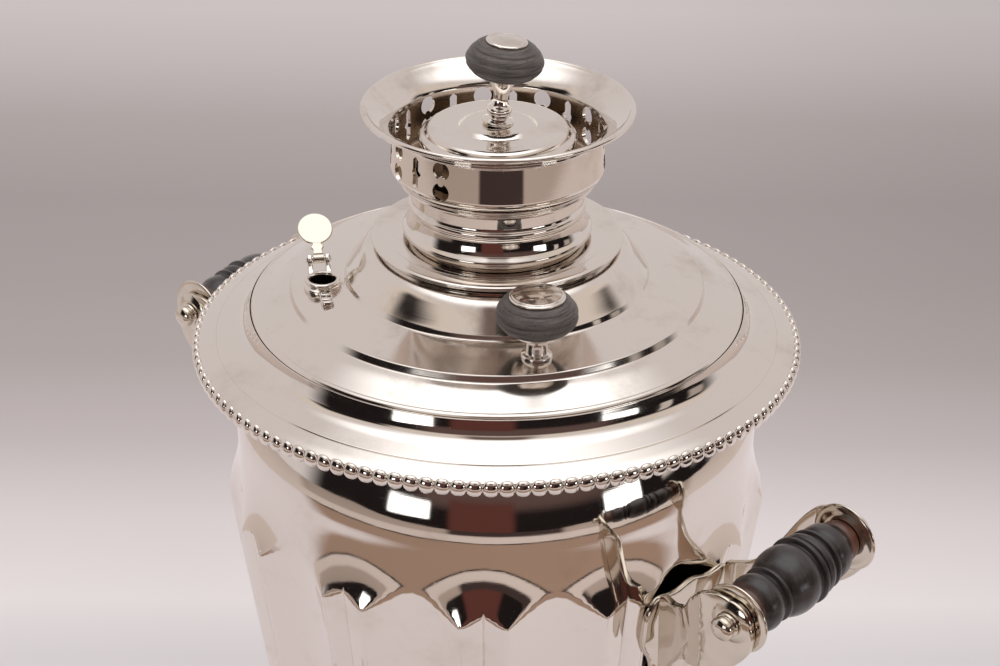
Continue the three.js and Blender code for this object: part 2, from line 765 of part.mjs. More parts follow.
function crownGallery() {
  const bandTop = bandFloor + crownBandHeight;
  const lip = bandTop + crownFlareHeight;
  const bore = collarRadius - thinSheet - fit - thinSheet;
  const path = [
    [bore, bandFloor], [crownBandRadius - sheet, bandFloor],
    [crownBandRadius, bandFloor + crownBaseRise], [crownBandRadius, bandTop],
    [crownBandRadius + sheet / 2, bandTop + sheet / 2],
    ...spread([crownBandRadius, bandTop + sheet], [crownLipRadius, lip - crownLipWidth], [[0, 0], [0.6, 0.62], [1, 1]]),
    [crownLipRadius - crownLipWidth / 4, lip], [crownLipRadius - crownLipWidth, lip],
  ];
  const inside = crownBandRadius - sheet;
  const back = [
    ...spread([crownLipRadius - crownLipWidth, lip], [inside, bandTop], [[0.5, 0.4], [1, 1]]),
    [inside, bandFloor + sheet], [bore, bandFloor + sheet], path[0],
  ];
  return pierced(revolve([...path, ...back], ringSides));
}

// Pierces the crown's band with pairs of round draught holes and tall slits by turns, leaving one blank panel.
function pierced(band) {
  const middle = bandFloor + (crownBandHeight + crownBaseRise) / 2;
  const reach = [crownBandRadius - overrun, crownBandRadius + overrun];
  const round = rodAlongX(crownHoleRadius, ...reach, tinySides);
  const slit = new THREE.BoxGeometry(overrun * 2, crownSlitWidth, crownSlitHeight);
  const slot = solid(slit).translate([crownBandRadius, 0, middle]);
  let shape = band;
  for (let i = 0; i < crownHolePairs * 2 - 1; i += 1) {
    const turn = crownHoleStart - i * crownHolePitch;
    if (i % 2 === 0) {
      shape = shape.subtract(round.translate([0, 0, middle + crownHoleSpread / 2]).rotate([0, 0, turn]));
      shape = shape.subtract(round.translate([0, 0, middle - crownHoleSpread / 2]).rotate([0, 0, turn]));
    } else {
      shape = shape.subtract(slot.rotate([0, 0, turn]));
    }
  }
  return shape;
}

// Chimney cap

function capShell() {
  const top = capFloor + capHeight;
  const plug = tubeRadius - sheet - fit;
  const roof = top - sheet * 1.2;
  return revolve([
    [capStudRadius + fit, top + capBossHeight], [capBossRadius - sheet, top + capBossHeight], [capBossRadius, top],
    [capTopRadius - sheet, top], [capTopRadius, capFloor + sheet * 2],
    [capLipRadius, capFloor + sheet], [capLipRadius, capFloor], [plug, capFloor], [plug, capFloor - capPlugDepth],
    [plug - sheet, capFloor - capPlugDepth], [plug - sheet, roof],
    [capStudRadius + fit, roof], [capStudRadius + fit, top + capBossHeight],
  ], ringSides);
}

function capStem() {
  const floor = capFloor + capHeight + capBossHeight + fit;
  const top = floor + capStemHeight;
  const ball = arc([0, floor + capStemHeight * 0.34], capStemBallRadius, -45, 45, 3);
  return revolve([
    [0, capFloor + capHeight - sheet * 2 - capNutHeight], [capStudRadius, capFloor + capHeight - sheet * 2 - capNutHeight],
    [capStudRadius, floor], [capStemFootRadius, floor], [capStemFootRadius, floor + sheet],
    ...ball, [capStemNeckRadius, floor + capStemHeight * 0.66],
    [capStemCupRadius, top - sheet / 2], [capStemCupRadius, top], [capStudRadius, top],
    [capStudRadius, top + capWoodHeight], [0, top + capWoodHeight],
  ], slimSides);
}

function capWood() {
  const floor = capFloor + capHeight + capBossHeight + fit + capStemHeight + fit;
  const roof = floor + capWoodHeight - fit;
  const bore = capStudRadius + fit;
  const outside = spread([capStemCupRadius, floor], [capWoodRadius, roof], [
    [0, 0], [0.6, 0.18], [0.97, 0.46], [0.94, 0.54], [1, 0.62], [0.88, 0.82], [0.3, 1],
  ]);
  return revolve([[bore, floor], ...outside, [bore, roof], [bore, floor]], slimSides);
}

function capDisc() {
  const floor = capFloor + capHeight + capBossHeight + fit + capStemHeight + fit + capWoodHeight;
  return revolve([
    [0, floor], [capDiscRadius, floor], [capDiscRadius, floor + capDiscHeight * 0.5],
    [capDiscRadius * 0.85, floor + capDiscHeight * 0.85], [0, floor + capDiscHeight],
  ], slimSides);
}

function capNut() {
  const roof = capFloor + capHeight - sheet * 1.2 - fit;
  const block = rod(capNutRadius, roof - capNutHeight, roof, hexSides);
  return block.subtract(rod(capStudRadius + fit, roof - capNutHeight - overrun, roof + overrun, tinySides));
}

// Side handles, built at +X and turned into place by their groups.

const handleLevel = rimLevel - handleDrop;
const coneLean = THREE.MathUtils.radToDeg(Math.atan2((ridgeRadius - ridgeFootRadius) * facetDepthShare, coneHeight));

function facetReachAt(height) {
  return ridgeRadiusAt(height) * facetDepthShare;
}

// Shield-shaped plate that lies flat on the facet.
function bracketPlate() {
  const outline = spread([0, 0], [bracketPlateHalfWidth, bracketPlateHeight], [
    [0, 0], [0.34, 0.1], [0.62, 0.3], [0.7, 0.42], [1, 0.62], [1, 0.9], [0.8, 1],
    [-0.8, 1], [-1, 0.9], [-1, 0.62], [-0.7, 0.42], [-0.62, 0.3], [-0.34, 0.1],
  ]);
  const plate = extrude(outline, bracketPlateThickness + overrun).rotate([90, 0, 90]);
  const bottom = rimLevel - bracketPlateTopDrop - bracketPlateHeight;
  const reach = facetReachAt(bottom) - overrun;
  return plate.rotate([0, coneLean, 0]).translate([reach, 0, bottom]);
}

// One arm: a rounded ear seen from the side, cut from a blade that flares outwards from the plate.
function bracketArm() {
  const root = facetReachAt(handleLevel);
  const ear = spread([root, handleLevel], [handleReach, handleLevel + armHeight], [
    [-0.25, -0.43], [0.19, -0.37], [0.4, -0.26], [0.61, 0.02], [0.74, 0.11], [0.95, 0.1], [1.08, 0.06], [1.12, -0.02],
    [1.1, -0.15], [1.04, -0.3], [0.86, -0.46], [0.58, -0.56], [0.33, -0.72], [0.09, -0.98], [-0.25, -1.1],
  ]);
  const armFace = gripHalfLength + fit + flangeThickness + fit;
  const flare = spread([root, armRootHalfGap], [handleReach - flangeRadius - fit, armFace], [
    [-0.5, 0], [0.1, 0.04], [0.5, 0.36], [0.8, 0.82], [1, 1], [2, 1],
  ]);
  const outside = flare.map(([x, y]) => [x, y + armThickness]).reverse();
  const blade = extrude([...flare, ...outside], armHeight * 2).translate([0, 0, handleLevel - armHeight * 1.5]);
  return extrude(ear, armFace + armThickness + overrun).rotate([90, 0, 0]).translate([0, armFace + armThickness + overrun, 0])
    .intersect(blade);
}

function handleBracket() {
  const outerFace = gripHalfLength + fit + flangeThickness + fit + armThickness;
  const bossEnd = outerFace + armBossHeight;
  const boss = revolve([
    [0, outerFace - sheet], [armBossRadius, outerFace - sheet], [armBossRadius, outerFace + sheet / 2],
    [nutRadius, bossEnd], [0, bossEnd],
  ], slimSides);
  const end = boss.rotate([-90, 0, 0]).translate([handleReach, 0, handleLevel]).add(bracketArm());
  const hole = rodAlongY(rodRadius + fit, -bossEnd - overrun, bossEnd + overrun, tinySides);
  return bracketPlate().add(end).add(end.mirror([0, 1, 0]))
    .subtract(hole.translate([handleReach, 0, handleLevel]))
    .subtract(facetedCone(wallFloor, wallTop, fit));
}

function handleGrip() {
  const half = gripHalfLength;
  const bore = rodRadius + fit;
  const outside = [
    [0.62, -1], [0.6, -0.76], [0.84, -0.58], [0.74, -0.4],
    [1, -0.14], [0.96, 0.28], [0.74, 0.4], [0.84, 0.58], [0.6, 0.76], [0.62, 1],
  ].map(([radiusShare, lengthShare]) => [gripRadius * radiusShare, half * lengthShare]);
  return revolve([[bore, -half], ...outside, [bore, half], [bore, -half]], smallSides).rotate([-90, 0, 0]);
}

function handleFlange() {
  const bore = rodRadius + fit;
  return revolve([
    [bore, 0], [flangeRadius - sheet, 0], [flangeRadius, flangeThickness], [bore, flangeThickness], [bore, 0],
  ], slimSides);
}

function handleRod() {
  const reach = gripHalfLength + fit + flangeThickness + fit + armThickness + armBossHeight + fit + nutHeight * 0.6;
  return rodAlongY(rodRadius, -reach, reach, tinySides);
}

// Acorn nut with a blind bore, base at z = 0.
function acornNut() {
  const bore = rodRadius + fit;
  return revolve([
    [bore, 0], [nutRadius, 0], [nutRadius * 0.8, nutHeight * 0.26], [nutRadius * 0.95, nutHeight * 0.5],
    [nutRadius * 0.6, nutHeight * 0.9], [0, nutHeight], [0, nutHeight * 0.7], [bore, nutHeight * 0.7], [bore, 0],
  ], tinySides);
}

// Tap, built towards +X and turned into place by its group.

const tapStart = facetReachAt(tapHeight) + escutcheonThickness + fit * 2;
const plugReach = tapStart + tapLength;
const barrelFloor = tapHeight - tapBarrelHeight / 2;
const barrelTop = tapHeight + tapBarrelHeight / 2;

function tapEscutcheon() {
  const lobes = 8;
  const steps = lobes * 2;
  const outline = Array.from({ length: steps }, (_, i) => {
    const angle = 2 * Math.PI * i / steps;
    const reach = escutcheonRadius * (0.93 + 0.07 * Math.cos(lobes * angle));
    return [reach * Math.cos(angle), reach * Math.sin(angle)];
  });
  const face = facetReachAt(tapHeight) + escutcheonThickness;
  const slab = extrude(outline, escutcheonThickness + overrun).rotate([0, 90, 0]);
  const hole = rodAlongX(shankRadius + fit, 0, face + overrun);
  return slab.translate([face - escutcheonThickness - overrun, 0, 0]).subtract(hole).translate([0, 0, tapHeight])
    .subtract(facetedCone(wallFloor, wallTop, fit));
}

function plugCone(clearance, extra) {
  return revolve([
    [0, barrelFloor - extra], [plugBottomRadius + clearance, barrelFloor - extra],
    [plugTopRadius + clearance, barrelTop + extra], [0, barrelTop + extra],
  ], plugSides).translate([plugReach, 0, 0]);
}

function spoutCurve() {
  return new THREE.CatmullRomCurve3([
    [0, 0], [0.34, 0], [0.72, -0.1], [0.96, -0.42], [1, -1],
  ].map(([across, down]) => new THREE.Vector3(plugReach + spoutReach * across, 0, tapHeight + spoutDrop * down)));
}

function spoutTube(radius, overshoot) {
  const ring = new THREE.Shape();
  ring.absarc(0, 0, radius, 0, 2 * Math.PI);
  const path = spoutCurve();
  const end = path.points[path.points.length - 1].clone();
  end.z -= overshoot;
  if (overshoot > 0) path.points.push(end);
  return solid(new THREE.ExtrudeGeometry(ring, { steps: 7, curveSegments: 5, extrudePath: path }));
}

function tapBody() {
  const shank = rodAlongX(shankRadius, tapStart - shankLength - escutcheonThickness, tapStart + sheet);
  const flange = rodAlongX(tapTubeRadius + sheet * 2, tapStart, tapStart + sheet * 2);
  const tube = rodAlongX(tapTubeRadius, tapStart, plugReach);
  const straight = shank.add(flange).add(tube).translate([0, 0, tapHeight]);
  const barrel = rod(tapBarrelRadius, barrelFloor, barrelTop).translate([plugReach, 0, 0]);
  const lip = rod(spoutLipRadius, 0, spoutLipHeight).translate([plugReach + spoutReach, 0, tapHeight - spoutDrop]);
  const outside = straight.add(barrel).add(spoutTube(spoutRadius, 0)).add(lip);
  const inlet = rodAlongX(tapBore, tapStart - shankLength * 2, plugReach).translate([0, 0, tapHeight]);
  return outside.subtract(inlet).subtract(spoutTube(tapBore, overrun)).subtract(plugCone(fit, overrun));
}

function tapNut() {
  const inner = (ridgeRadiusAt(tapHeight) - sheet) * facetDepthShare - overrun / 2;
  const block = rodAlongX(tapNutRadius, inner - tapNutHeight, inner + overrun, hexSides);
  const bore = rodAlongX(shankRadius + fit, 0, inner + overrun * 2);
  return block.subtract(bore).translate([0, 0, tapHeight]).intersect(facetedCone(wallFloor, wallTop, -sheet - fit));
}

// Plug with its head above the barrel; the cross bore lies along Y while the tap is shut.
function tapPlug() {
  const headFloor = barrelTop + fit;
  const tail = rod(plugBottomRadius - sheet, barrelFloor - plugTailLength, barrelFloor, slimSides);
  const head = rod(plugHeadRadius, headFloor, headFloor + plugHeadHeight);
  const stem = rod(keyStemRadius, headFloor, headFloor + plugHeadHeight + keyStemHeight, tinySides);
  const bore = rodAlongY(tapBore, -overrun * 3, overrun * 3);
  return plugCone(0, 0).add(tail.add(head).add(stem).add(rod(plugTopRadius - fit, barrelTop - sheet, headFloor + sheet))
    .translate([plugReach, 0, 0])).subtract(bore.translate([plugReach, 0, tapHeight]));
}

// Flat branched key, symmetrical about its stem, lying across the tap.
function tapKey() {
  const floor = barrelTop + fit + plugHeadHeight + fit;
  const halfOutline = spread([0, 0], [keyHalfWidth, keyHeight], [
    [0.26, 0], [0.3, 0.2], [0.62, 0.14], [0.95, 0.3], [1, 0.52], [0.82, 0.74], [0.56, 0.78], [0.4, 0.66],
    [0.3, 0.72], [0.34, 0.9], [0.18, 1],
  ]);
  const mirrored = halfOutline.map(([x, y]) => [-x, y]).reverse();
  const blade = extrude([...halfOutline, ...mirrored], keyThickness);
  const eyeReach = keyHalfWidth * 0.66;
  const eye = rod(keyHalfWidth * 0.16, -overrun, keyThickness + overrun, tinySides);
  const socket = rod(keyStemRadius + fit, -overrun, keyStemHeight + fit, tinySides);
  const collar = rod(keyStemRadius + sheet * 1.6, 0, keyStemHeight + sheet, slimSides);
  const leaf = blade.subtract(eye.translate([eyeReach, keyHeight * 0.46, 0]))
    .subtract(eye.translate([-eyeReach, keyHeight * 0.46, 0])).translate([0, 0, -keyThickness / 2]);
  return leaf.rotate([90, 0, 90]).add(collar).subtract(socket).translate([plugReach, 0, floor]);
}

// Assembly

function lidKnob(number, turn) {
  const knob = group(
    piece(`lid_knob_stem_${number}`, knobStem(), nickel),
    piece(`lid_knob_wood_${number}`, knobWood(), greyWood),
    piece(`lid_knob_cap_${number}`, knobCap(), nickel),
    piece(`lid_knob_nut_${number}`, knobNut(), brass),
  );
  knob.rotation.z = radians(turn);
  return knob;
}

function sideHandle(side, turn) {
  const grip = piece(`handle_grip_${side}`, handleGrip(), blackWood);
  const bar = piece(`handle_rod_${side}`, handleRod(), darkNickel);
  const fittings = [grip, bar];
  const flangeStart = gripHalfLength + fit;
  const nutStart = flangeStart + flangeThickness + fit + armThickness + armBossHeight + fit;
  for (const [end, tilt, sign] of [['a', Math.PI / 2, -1], ['b', -Math.PI / 2, 1]]) {
    const flange = piece(`handle_flange_${side}_${end}`, handleFlange(), nickel);
    flange.position.y = sign * flangeStart;
    flange.rotation.x = tilt;
    const nut = piece(`handle_nut_${side}_${end}`, acornNut(), nickel);
    nut.position.y = sign * nutStart;
    nut.rotation.x = tilt;
    fittings.push(flange, nut);
  }
  const held = group(...fittings);
  held.position.set(handleReach, 0, handleLevel);
  const handle = group(piece(`handle_bracket_${side}`, handleBracket(), nickel), held);
  handle.rotation.z = turn;
  return handle;
}

function steamVent() {
  const top = lidHeightAt(ventReach) + ventHeight;
  const pin = piece('vent_pin', ventPin(), nickel);
  const flap = piece('vent_flap', ventFlap(), nickel);
  flap.rotation.x = radians(-flapOpenAngle);
  const hinge = group(pin, flap);
  hinge.position.set(0, ventArm, top + ventPinRise);
  const vent = group(piece('vent_socket', ventSocket(), nickel), hinge);
  vent.position.x = ventReach;
  vent.rotation.z = Math.PI;
  const holder = group(vent);
  holder.rotation.z = radians(ventTurn);
  return holder;
}

function feet() {
  return footPlaces().map(([x, y], i) => {
    const made = piece(`foot_${i + 1}`, foot(), nickel);
    made.position.set(x, y, 0);
    return made;
  });
}

function tap() {
  const pieces = group(
    piece('tap_escutcheon', tapEscutcheon(), nickel),
    piece('tap_body', tapBody(), nickel),
    piece('tap_nut', tapNut(), brass),
    piece('tap_plug', tapPlug(), nickel),
    piece('tap_key', tapKey(), nickel),
  );
  pieces.rotation.z = -Math.PI / 2;
  return pieces;
}

const samovar = group(
  ...feet(),
  piece('base_plinth', plinth(), nickel),
  piece('base_dome', baseDome(), nickel),
  piece('draught_neck', draughtNeck(), nickel),
  piece('body_bowl', bodyBowl(), nickel),
  piece('body_wall', bodyWall(), nickel),
  piece('rim_ring', rimRing(), nickel),
  piece('bead_ring', beadRing(), nickel),
  piece('fire_tube', fireTube(), darkNickel),
  piece('grate', grate(), iron),
  piece('lid_shell', lidShell(), nickel),
  piece('lid_plate', lidPlate(), nickel),
  lidKnob(1, knobTurn),
  lidKnob(2, knobTurn + 180),
  steamVent(),
  piece('crown_foot', crownFoot(), nickel),
  piece('crown_gallery', crownGallery(), nickel),
  piece('cap_shell', capShell(), nickel),
  piece('cap_stem', capStem(), nickel),
  piece('cap_wood', capWood(), greyWood),
  piece('cap_disc', capDisc(), nickel),
  piece('cap_nut', capNut(), brass),
  sideHandle('right', 0),
  sideHandle('left', Math.PI),
  tap(),
);

// The origin is the middle of the bounding box on the table, so the vessel is moved along Y by half the tap's reach.
const bounds = new THREE.Box3().setFromObject(samovar);
samovar.position.y = -(bounds.max.y + bounds.min.y) / 2;

export default samovar;
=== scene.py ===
import json
import math

import bmesh
import bpy
import numpy as np
from mathutils import Euler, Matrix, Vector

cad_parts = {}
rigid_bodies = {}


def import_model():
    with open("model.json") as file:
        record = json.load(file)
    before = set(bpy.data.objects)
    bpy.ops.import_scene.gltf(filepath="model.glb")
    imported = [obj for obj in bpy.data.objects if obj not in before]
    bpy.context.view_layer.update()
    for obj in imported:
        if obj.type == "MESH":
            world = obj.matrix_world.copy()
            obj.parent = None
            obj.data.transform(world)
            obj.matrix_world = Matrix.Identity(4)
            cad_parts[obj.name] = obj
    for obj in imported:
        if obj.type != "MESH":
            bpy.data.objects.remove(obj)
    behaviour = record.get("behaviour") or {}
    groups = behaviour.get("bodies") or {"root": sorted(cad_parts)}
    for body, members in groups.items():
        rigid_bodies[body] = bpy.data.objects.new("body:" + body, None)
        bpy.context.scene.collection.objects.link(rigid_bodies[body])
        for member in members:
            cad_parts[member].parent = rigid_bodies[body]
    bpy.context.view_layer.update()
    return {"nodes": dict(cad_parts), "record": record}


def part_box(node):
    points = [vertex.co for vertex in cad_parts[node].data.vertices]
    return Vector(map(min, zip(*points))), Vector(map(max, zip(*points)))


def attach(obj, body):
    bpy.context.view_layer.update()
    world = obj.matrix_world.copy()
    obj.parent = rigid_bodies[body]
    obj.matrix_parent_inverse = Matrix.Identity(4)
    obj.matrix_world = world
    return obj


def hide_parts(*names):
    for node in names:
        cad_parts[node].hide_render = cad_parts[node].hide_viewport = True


bl_info = {
    "name": "Samovar dressing",
    "version": (1, 0, 0),
    "blender": (4, 5, 0),
    "location": "3D View > Sidebar > Samovar",
    "description": "Dresses the charcoal samovar's frame with smooth metal and turned wood",
    "category": "Add Mesh",
}

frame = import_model()

# Sizes are in millimetres and are turned into metres when a mesh is written. Pieces are drawn round the
# body's axis, which stands AXIS_Y behind the frame's origin.
MILLIMETRE = 0.001


def middle(node):
    """Middle of a frame node's box, in millimetres."""
    low, high = (np.array(corner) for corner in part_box(node))
    return (low + high) / 2 / MILLIMETRE


AXIS_Y = float(middle("body_wall")[1])

# Directions along the floor from the axis: to the camera, to its right, and up.
VIEW_TURN = math.radians(47.2)
TOWARD = np.array([math.sin(VIEW_TURN), -math.cos(VIEW_TURN), 0.0])
ACROSS = np.array([math.cos(VIEW_TURN), math.sin(VIEW_TURN), 0.0])
UP = np.array([0.0, 0.0, 1.0])


# Shapes

LONGEST_CUT = 0.42  # a corner takes at most this share of the line beside it
GUARD = 1.16  # the point that keeps a flat flat stands this many cuts from the corner
SHORTEST_STEP = 1e-4


def rounded(corners, closed=True, steps=6):
    """A line through corners given as (across, up, cut), each corner bent as a quadratic curve.

    The curve leaves the line at cut before the corner and meets it at cut after it, and a point just
    outside each end keeps the flats beside it flat.
    """
    table = np.array([(*corner, 0.0)[:3] for corner in corners], float)
    points, cuts = table[:, :2], table[:, 2]
    before, after = np.roll(points, 1, 0) - points, np.roll(points, -1, 0) - points
    if not closed:
        before[0] = after[-1] = 0.0
        cuts[0] = cuts[-1] = 0.0
    long_before, long_after = np.linalg.norm(before, axis=1), np.linalg.norm(after, axis=1)
    before = before / np.maximum(long_before, 1e-9)[:, None]
    after = after / np.maximum(long_after, 1e-9)[:, None]
    back = np.minimum(cuts, long_before * LONGEST_CUT)[:, None, None]
    on = np.minimum(cuts, long_after * LONGEST_CUT)[:, None, None]
    t = np.linspace(0, 1, steps)[None, :, None]
    corner = points[:, None, :]
    start, end = corner + before[:, None, :] * back, corner + after[:, None, :] * on
    bend = (1 - t) ** 2 * start + 2 * t * (1 - t) * corner + t**2 * end
    lead = corner + before[:, None, :] * back * GUARD
    trail = corner + after[:, None, :] * on * GUARD
    line = np.concatenate([lead, bend, trail], axis=1).reshape(-1, 2)
    keep = np.ones(len(line), bool)
    keep[1:] = np.linalg.norm(np.diff(line, axis=0), axis=1) > SHORTEST_STEP
    return line[keep]


def on_circle(radius, angle, height):
    """Points at a radius, angle and height: x = r cos a, y = r sin a, z = height."""
    return np.stack([radius * np.cos(angle), radius * np.sin(angle), height + 0 * angle], -1)


def turned(corners, sides, closed=False):
    """A rounded profile of (radius, height) carried round Z."""
    section = rounded(corners, closed)
    angle = np.radians(np.linspace(0.0, 360.0, sides, endpoint=False))[:, None]
    return on_circle(section[None, :, 0], angle, section[None, :, 1])


def pillow(outline, half, cut, rows=5, crown=0.0):
    """A flat piece from a star-shaped outline: rings shrink to the middle on both faces.

    The rim is an elliptical round of the given cut, and crown lifts the middle of the face as a parabola.
    """
    centre = outline.mean(0)
    arm = outline - centre
    reach = np.linalg.norm(arm, axis=1)[:, None]
    turn = np.linspace(0, np.pi / 2, rows)
    share = np.linspace(0, 1, 7)[:-1]
    into = np.concatenate([np.full(len(share), cut), cut * (1 - np.sin(turn))])[:, None, None]
    spread = np.concatenate([share, np.ones(rows)])[:, None, None]
    rings = centre + arm * (1 - into / reach).clip(0, 1) * spread
    heights = np.concatenate([half + crown * (1 - share**2), half - cut + cut * np.cos(turn)])
    top = np.concatenate([rings, np.broadcast_to(heights[:, None, None], rings[..., :1].shape)], -1)
    bottom = top[::-1] * np.array([1, 1, -1])
    return np.concatenate([top, bottom], 0)


def tube(path, radius, sides):
    """A round section carried along a path: each ring lies across the path's own direction.

    A first and a last ring of no size, at the path's ends, close it.
    """
    path = np.asarray(path, float)
    radius = np.broadcast_to(np.asarray(radius, float), (len(path),))
    along = np.gradient(path, axis=0)
    along /= np.linalg.norm(along, axis=1)[:, None]
    side = np.cross(along, np.eye(3)[np.argmin(np.ptp(path, axis=0))])
    side /= np.linalg.norm(side, axis=1)[:, None]
    up = np.cross(side, along)
    angle = np.linspace(0, 2 * np.pi, sides, endpoint=False)
    ring = np.cos(angle)[:, None] * side[:, None, :] + np.sin(angle)[:, None] * up[:, None, :]
    rings = path[:, None, :] + radius[:, None, None] * ring
    first, last = (np.broadcast_to(end, rings[:1].shape) for end in (path[0], path[-1]))
    return np.concatenate([first, rings, last], 0)


def curve(points, steps=12):
    """A smooth line through points: each span is a cubic with the slopes of its neighbours (Catmull-Rom)."""
    points = np.asarray(points, float)
    padded = np.concatenate([[2 * points[0] - points[1]], points, [2 * points[-1] - points[-2]]])
    t = np.linspace(0, 1, steps, endpoint=False)[:, None]
    a, b, c, d = (padded[i:len(padded) - 3 + i][:, None, :] for i in range(4))
    bend, twist = 2 * a - 5 * b + 4 * c - d, 3 * b - a - 3 * c + d
    line = 0.5 * (2 * b + (c - a) * t + bend * t**2 + twist * t**3)
    return np.concatenate([line.reshape(-1, points.shape[1]), points[-1:]])


def divided(outline, steps):
    """A closed outline with each of its lines cut into equal steps."""
    ends = zip(outline, np.roll(outline, -1, 0))
    return np.concatenate([np.linspace(start, end, steps, endpoint=False) for start, end in ends])


def at_height(line, height):
    """A flat line carried up to a height."""
    return np.column_stack([line, np.full(len(line), height)])


def edging(outline, height, radius):
    """A thin round bar laid along a flat closed outline."""
    loop = at_height(outline, height)
    return tube(np.concatenate([loop, loop[:1]]), radius, 8)


def spin(angle, axis="Z"):
    """The matrix of a turn in degrees about one axis."""
    c, s = math.cos(math.radians(angle)), math.sin(math.radians(angle))
    one, two = {"X": (1, 2), "Y": (2, 0), "Z": (0, 1)}[axis]
    matrix = np.eye(3)
    matrix[one, one] = matrix[two, two] = c
    matrix[one, two], matrix[two, one] = -s, s
    return matrix


def outwards(angle, reach):
    """The point at a distance from the axis, at an angle in degrees."""
    return spin(angle) @ np.array([reach, 0, 0])


def lean(points, pivot, angle, axis):
    """Points turned about an axis through a pivot (Rodrigues' formula)."""
    axis = np.asarray(axis, float) / np.linalg.norm(axis)
    arm = points - pivot
    c, s = math.cos(math.radians(angle)), math.sin(math.radians(angle))
    along = (arm @ axis)[..., None] * axis
    return pivot + arm * c + np.cross(axis, arm) * s + along * (1 - c)


# Meshes

# How the rows and columns of a grid join up: a round bar from pole to pole, a ring, a stack of outlines.
BAR, RING, STACK = (True, False), (True, True), (False, True)
WELD, SPECK = 2e-6, 1e-7  # points this near become one, and edges this short go (metres)
SHARP_EDGE = math.radians(38)


def sheet_faces(rows, columns, first, rows_close, columns_close):
    """Corner numbers of the four-sided faces of a grid of points."""
    number = first + np.arange(rows * columns).reshape(rows, columns)
    if rows_close:
        number = np.vstack([number, number[:1]])
    if columns_close:
        number = np.hstack([number, number[:, :1]])
    return np.stack([number[:-1, :-1], number[1:, :-1], number[1:, 1:], number[:-1, 1:]], -1).reshape(-1, 4)


def make(name, parts, body, slot, replaced=(), finish=None):
    """Writes one piece from grids given as (points, rows close, columns close).

    Its finish is its slot's own, unless another is named.
    """
    points, faces, count = [], [], 0
    for grid, *closes in parts:
        rows, columns = grid.shape[:2]
        faces.append(sheet_faces(rows, columns, count, *closes))
        points.append(grid.reshape(-1, 3))
        count += rows * columns
    points = np.concatenate(points) + np.array([0, AXIS_Y, 0])
    faces = np.concatenate(faces)
    mesh = bpy.data.meshes.new(name)
    mesh.vertices.add(len(points))
    mesh.vertices.foreach_set("co", (points * MILLIMETRE).astype(np.float32).ravel())
    mesh.loops.add(faces.size)
    mesh.loops.foreach_set("vertex_index", faces.astype(np.int32).ravel())
    mesh.polygons.add(len(faces))
    mesh.polygons.foreach_set("loop_start", np.arange(0, faces.size, 4, dtype=np.int32))
    mesh.update(calc_edges=True)
    shape = bmesh.new()
    shape.from_mesh(mesh)
    bmesh.ops.remove_doubles(shape, verts=shape.verts, dist=WELD)
    bmesh.ops.dissolve_degenerate(shape, edges=shape.edges, dist=SPECK)
    bmesh.ops.recalc_face_normals(shape, faces=shape.faces)
    shape.to_mesh(mesh)
    shape.free()
    mesh.polygons.foreach_set("use_smooth", np.ones(len(mesh.polygons), bool))
    mesh.update()
    piece = bpy.data.objects.new(name, mesh)
    bpy.context.scene.collection.objects.link(piece)
    mesh.materials.append(finishes()[finish or slot])
    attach(piece, body)
    if replaced:
        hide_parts(*replaced)
    return piece


def cut(piece, parts, finish):
    """Cuts closed grids out of a piece, and marks the new edges sharp."""
    tool = make(piece.name + "_cutter", parts, "vessel", "body_nickel", finish=finish)
    work = piece.modifiers.new("cut", "BOOLEAN")
    work.operation, work.object, work.solver = "DIFFERENCE", tool, "EXACT"
    bpy.context.view_layer.update()
    ready = piece.evaluated_get(bpy.context.evaluated_depsgraph_get())
    mesh = bpy.data.meshes.new_from_object(ready)
    piece.modifiers.clear()
    old, piece.data = piece.data, mesh
    bpy.data.meshes.remove(old)
    bpy.data.objects.remove(tool)
    mesh.polygons.foreach_set("use_smooth", np.ones(len(mesh.polygons), bool))
    mesh.set_sharp_from_angle(angle=SHARP_EDGE)


# Finishes


def add_node(tree, kind, settings=None, inputs=None, output=0):
    """One node of a type, with its settings set first and then its sockets' values or links."""
    node = tree.nodes.new(kind)
    for name, value in (settings or {}).items():
        setattr(node, name, value)
    for name, value in (inputs or {}).items():
        if isinstance(value, Value):
            tree.links.new(value.socket, node.inputs[name])
        else:
            node.inputs[name].default_value = value
    return Value(tree, node.outputs[output]) if len(node.outputs) else None


def overload(operation, reflected=False):
    """The method behind one of Python's signs, such as + or -. The reflected one has the value last."""
    if reflected:
        return lambda self, other: self.sum(operation, other, self)
    return lambda self, other: self.sum(operation, self, other)


class Value:
    """A number that varies over a surface. Each sum written with it adds one Math node."""

    def __init__(self, tree, socket):
        self.tree, self.socket = tree, socket

    def sum(self, operation, *terms):
        """One Math node over its terms."""
        return add_node(self.tree, "ShaderNodeMath", {"operation": operation}, dict(enumerate(terms)))

    __add__, __radd__ = overload("ADD"), overload("ADD", reflected=True)
    __sub__, __rsub__ = overload("SUBTRACT"), overload("SUBTRACT", reflected=True)
    __mul__, __rmul__ = overload("MULTIPLY"), overload("MULTIPLY", reflected=True)
    __truediv__, __rtruediv__ = overload("DIVIDE"), overload("DIVIDE", reflected=True)
    __pow__, __rpow__ = overload("POWER"), overload("POWER", reflected=True)

    def between(self, low, high, soft):
        """1 between two levels and 0 outside them, with soft ends."""
        return self.step(low - soft, low + soft) * (1 - self.step(high - soft, high + soft))

    def step(self, low, high):
        """0 below low and 1 above high, with a smooth bend between."""
        return add_node(self.tree, "ShaderNodeMapRange", {"interpolation_type": "SMOOTHSTEP"},
                        {0: self, 1: low, 2: high})


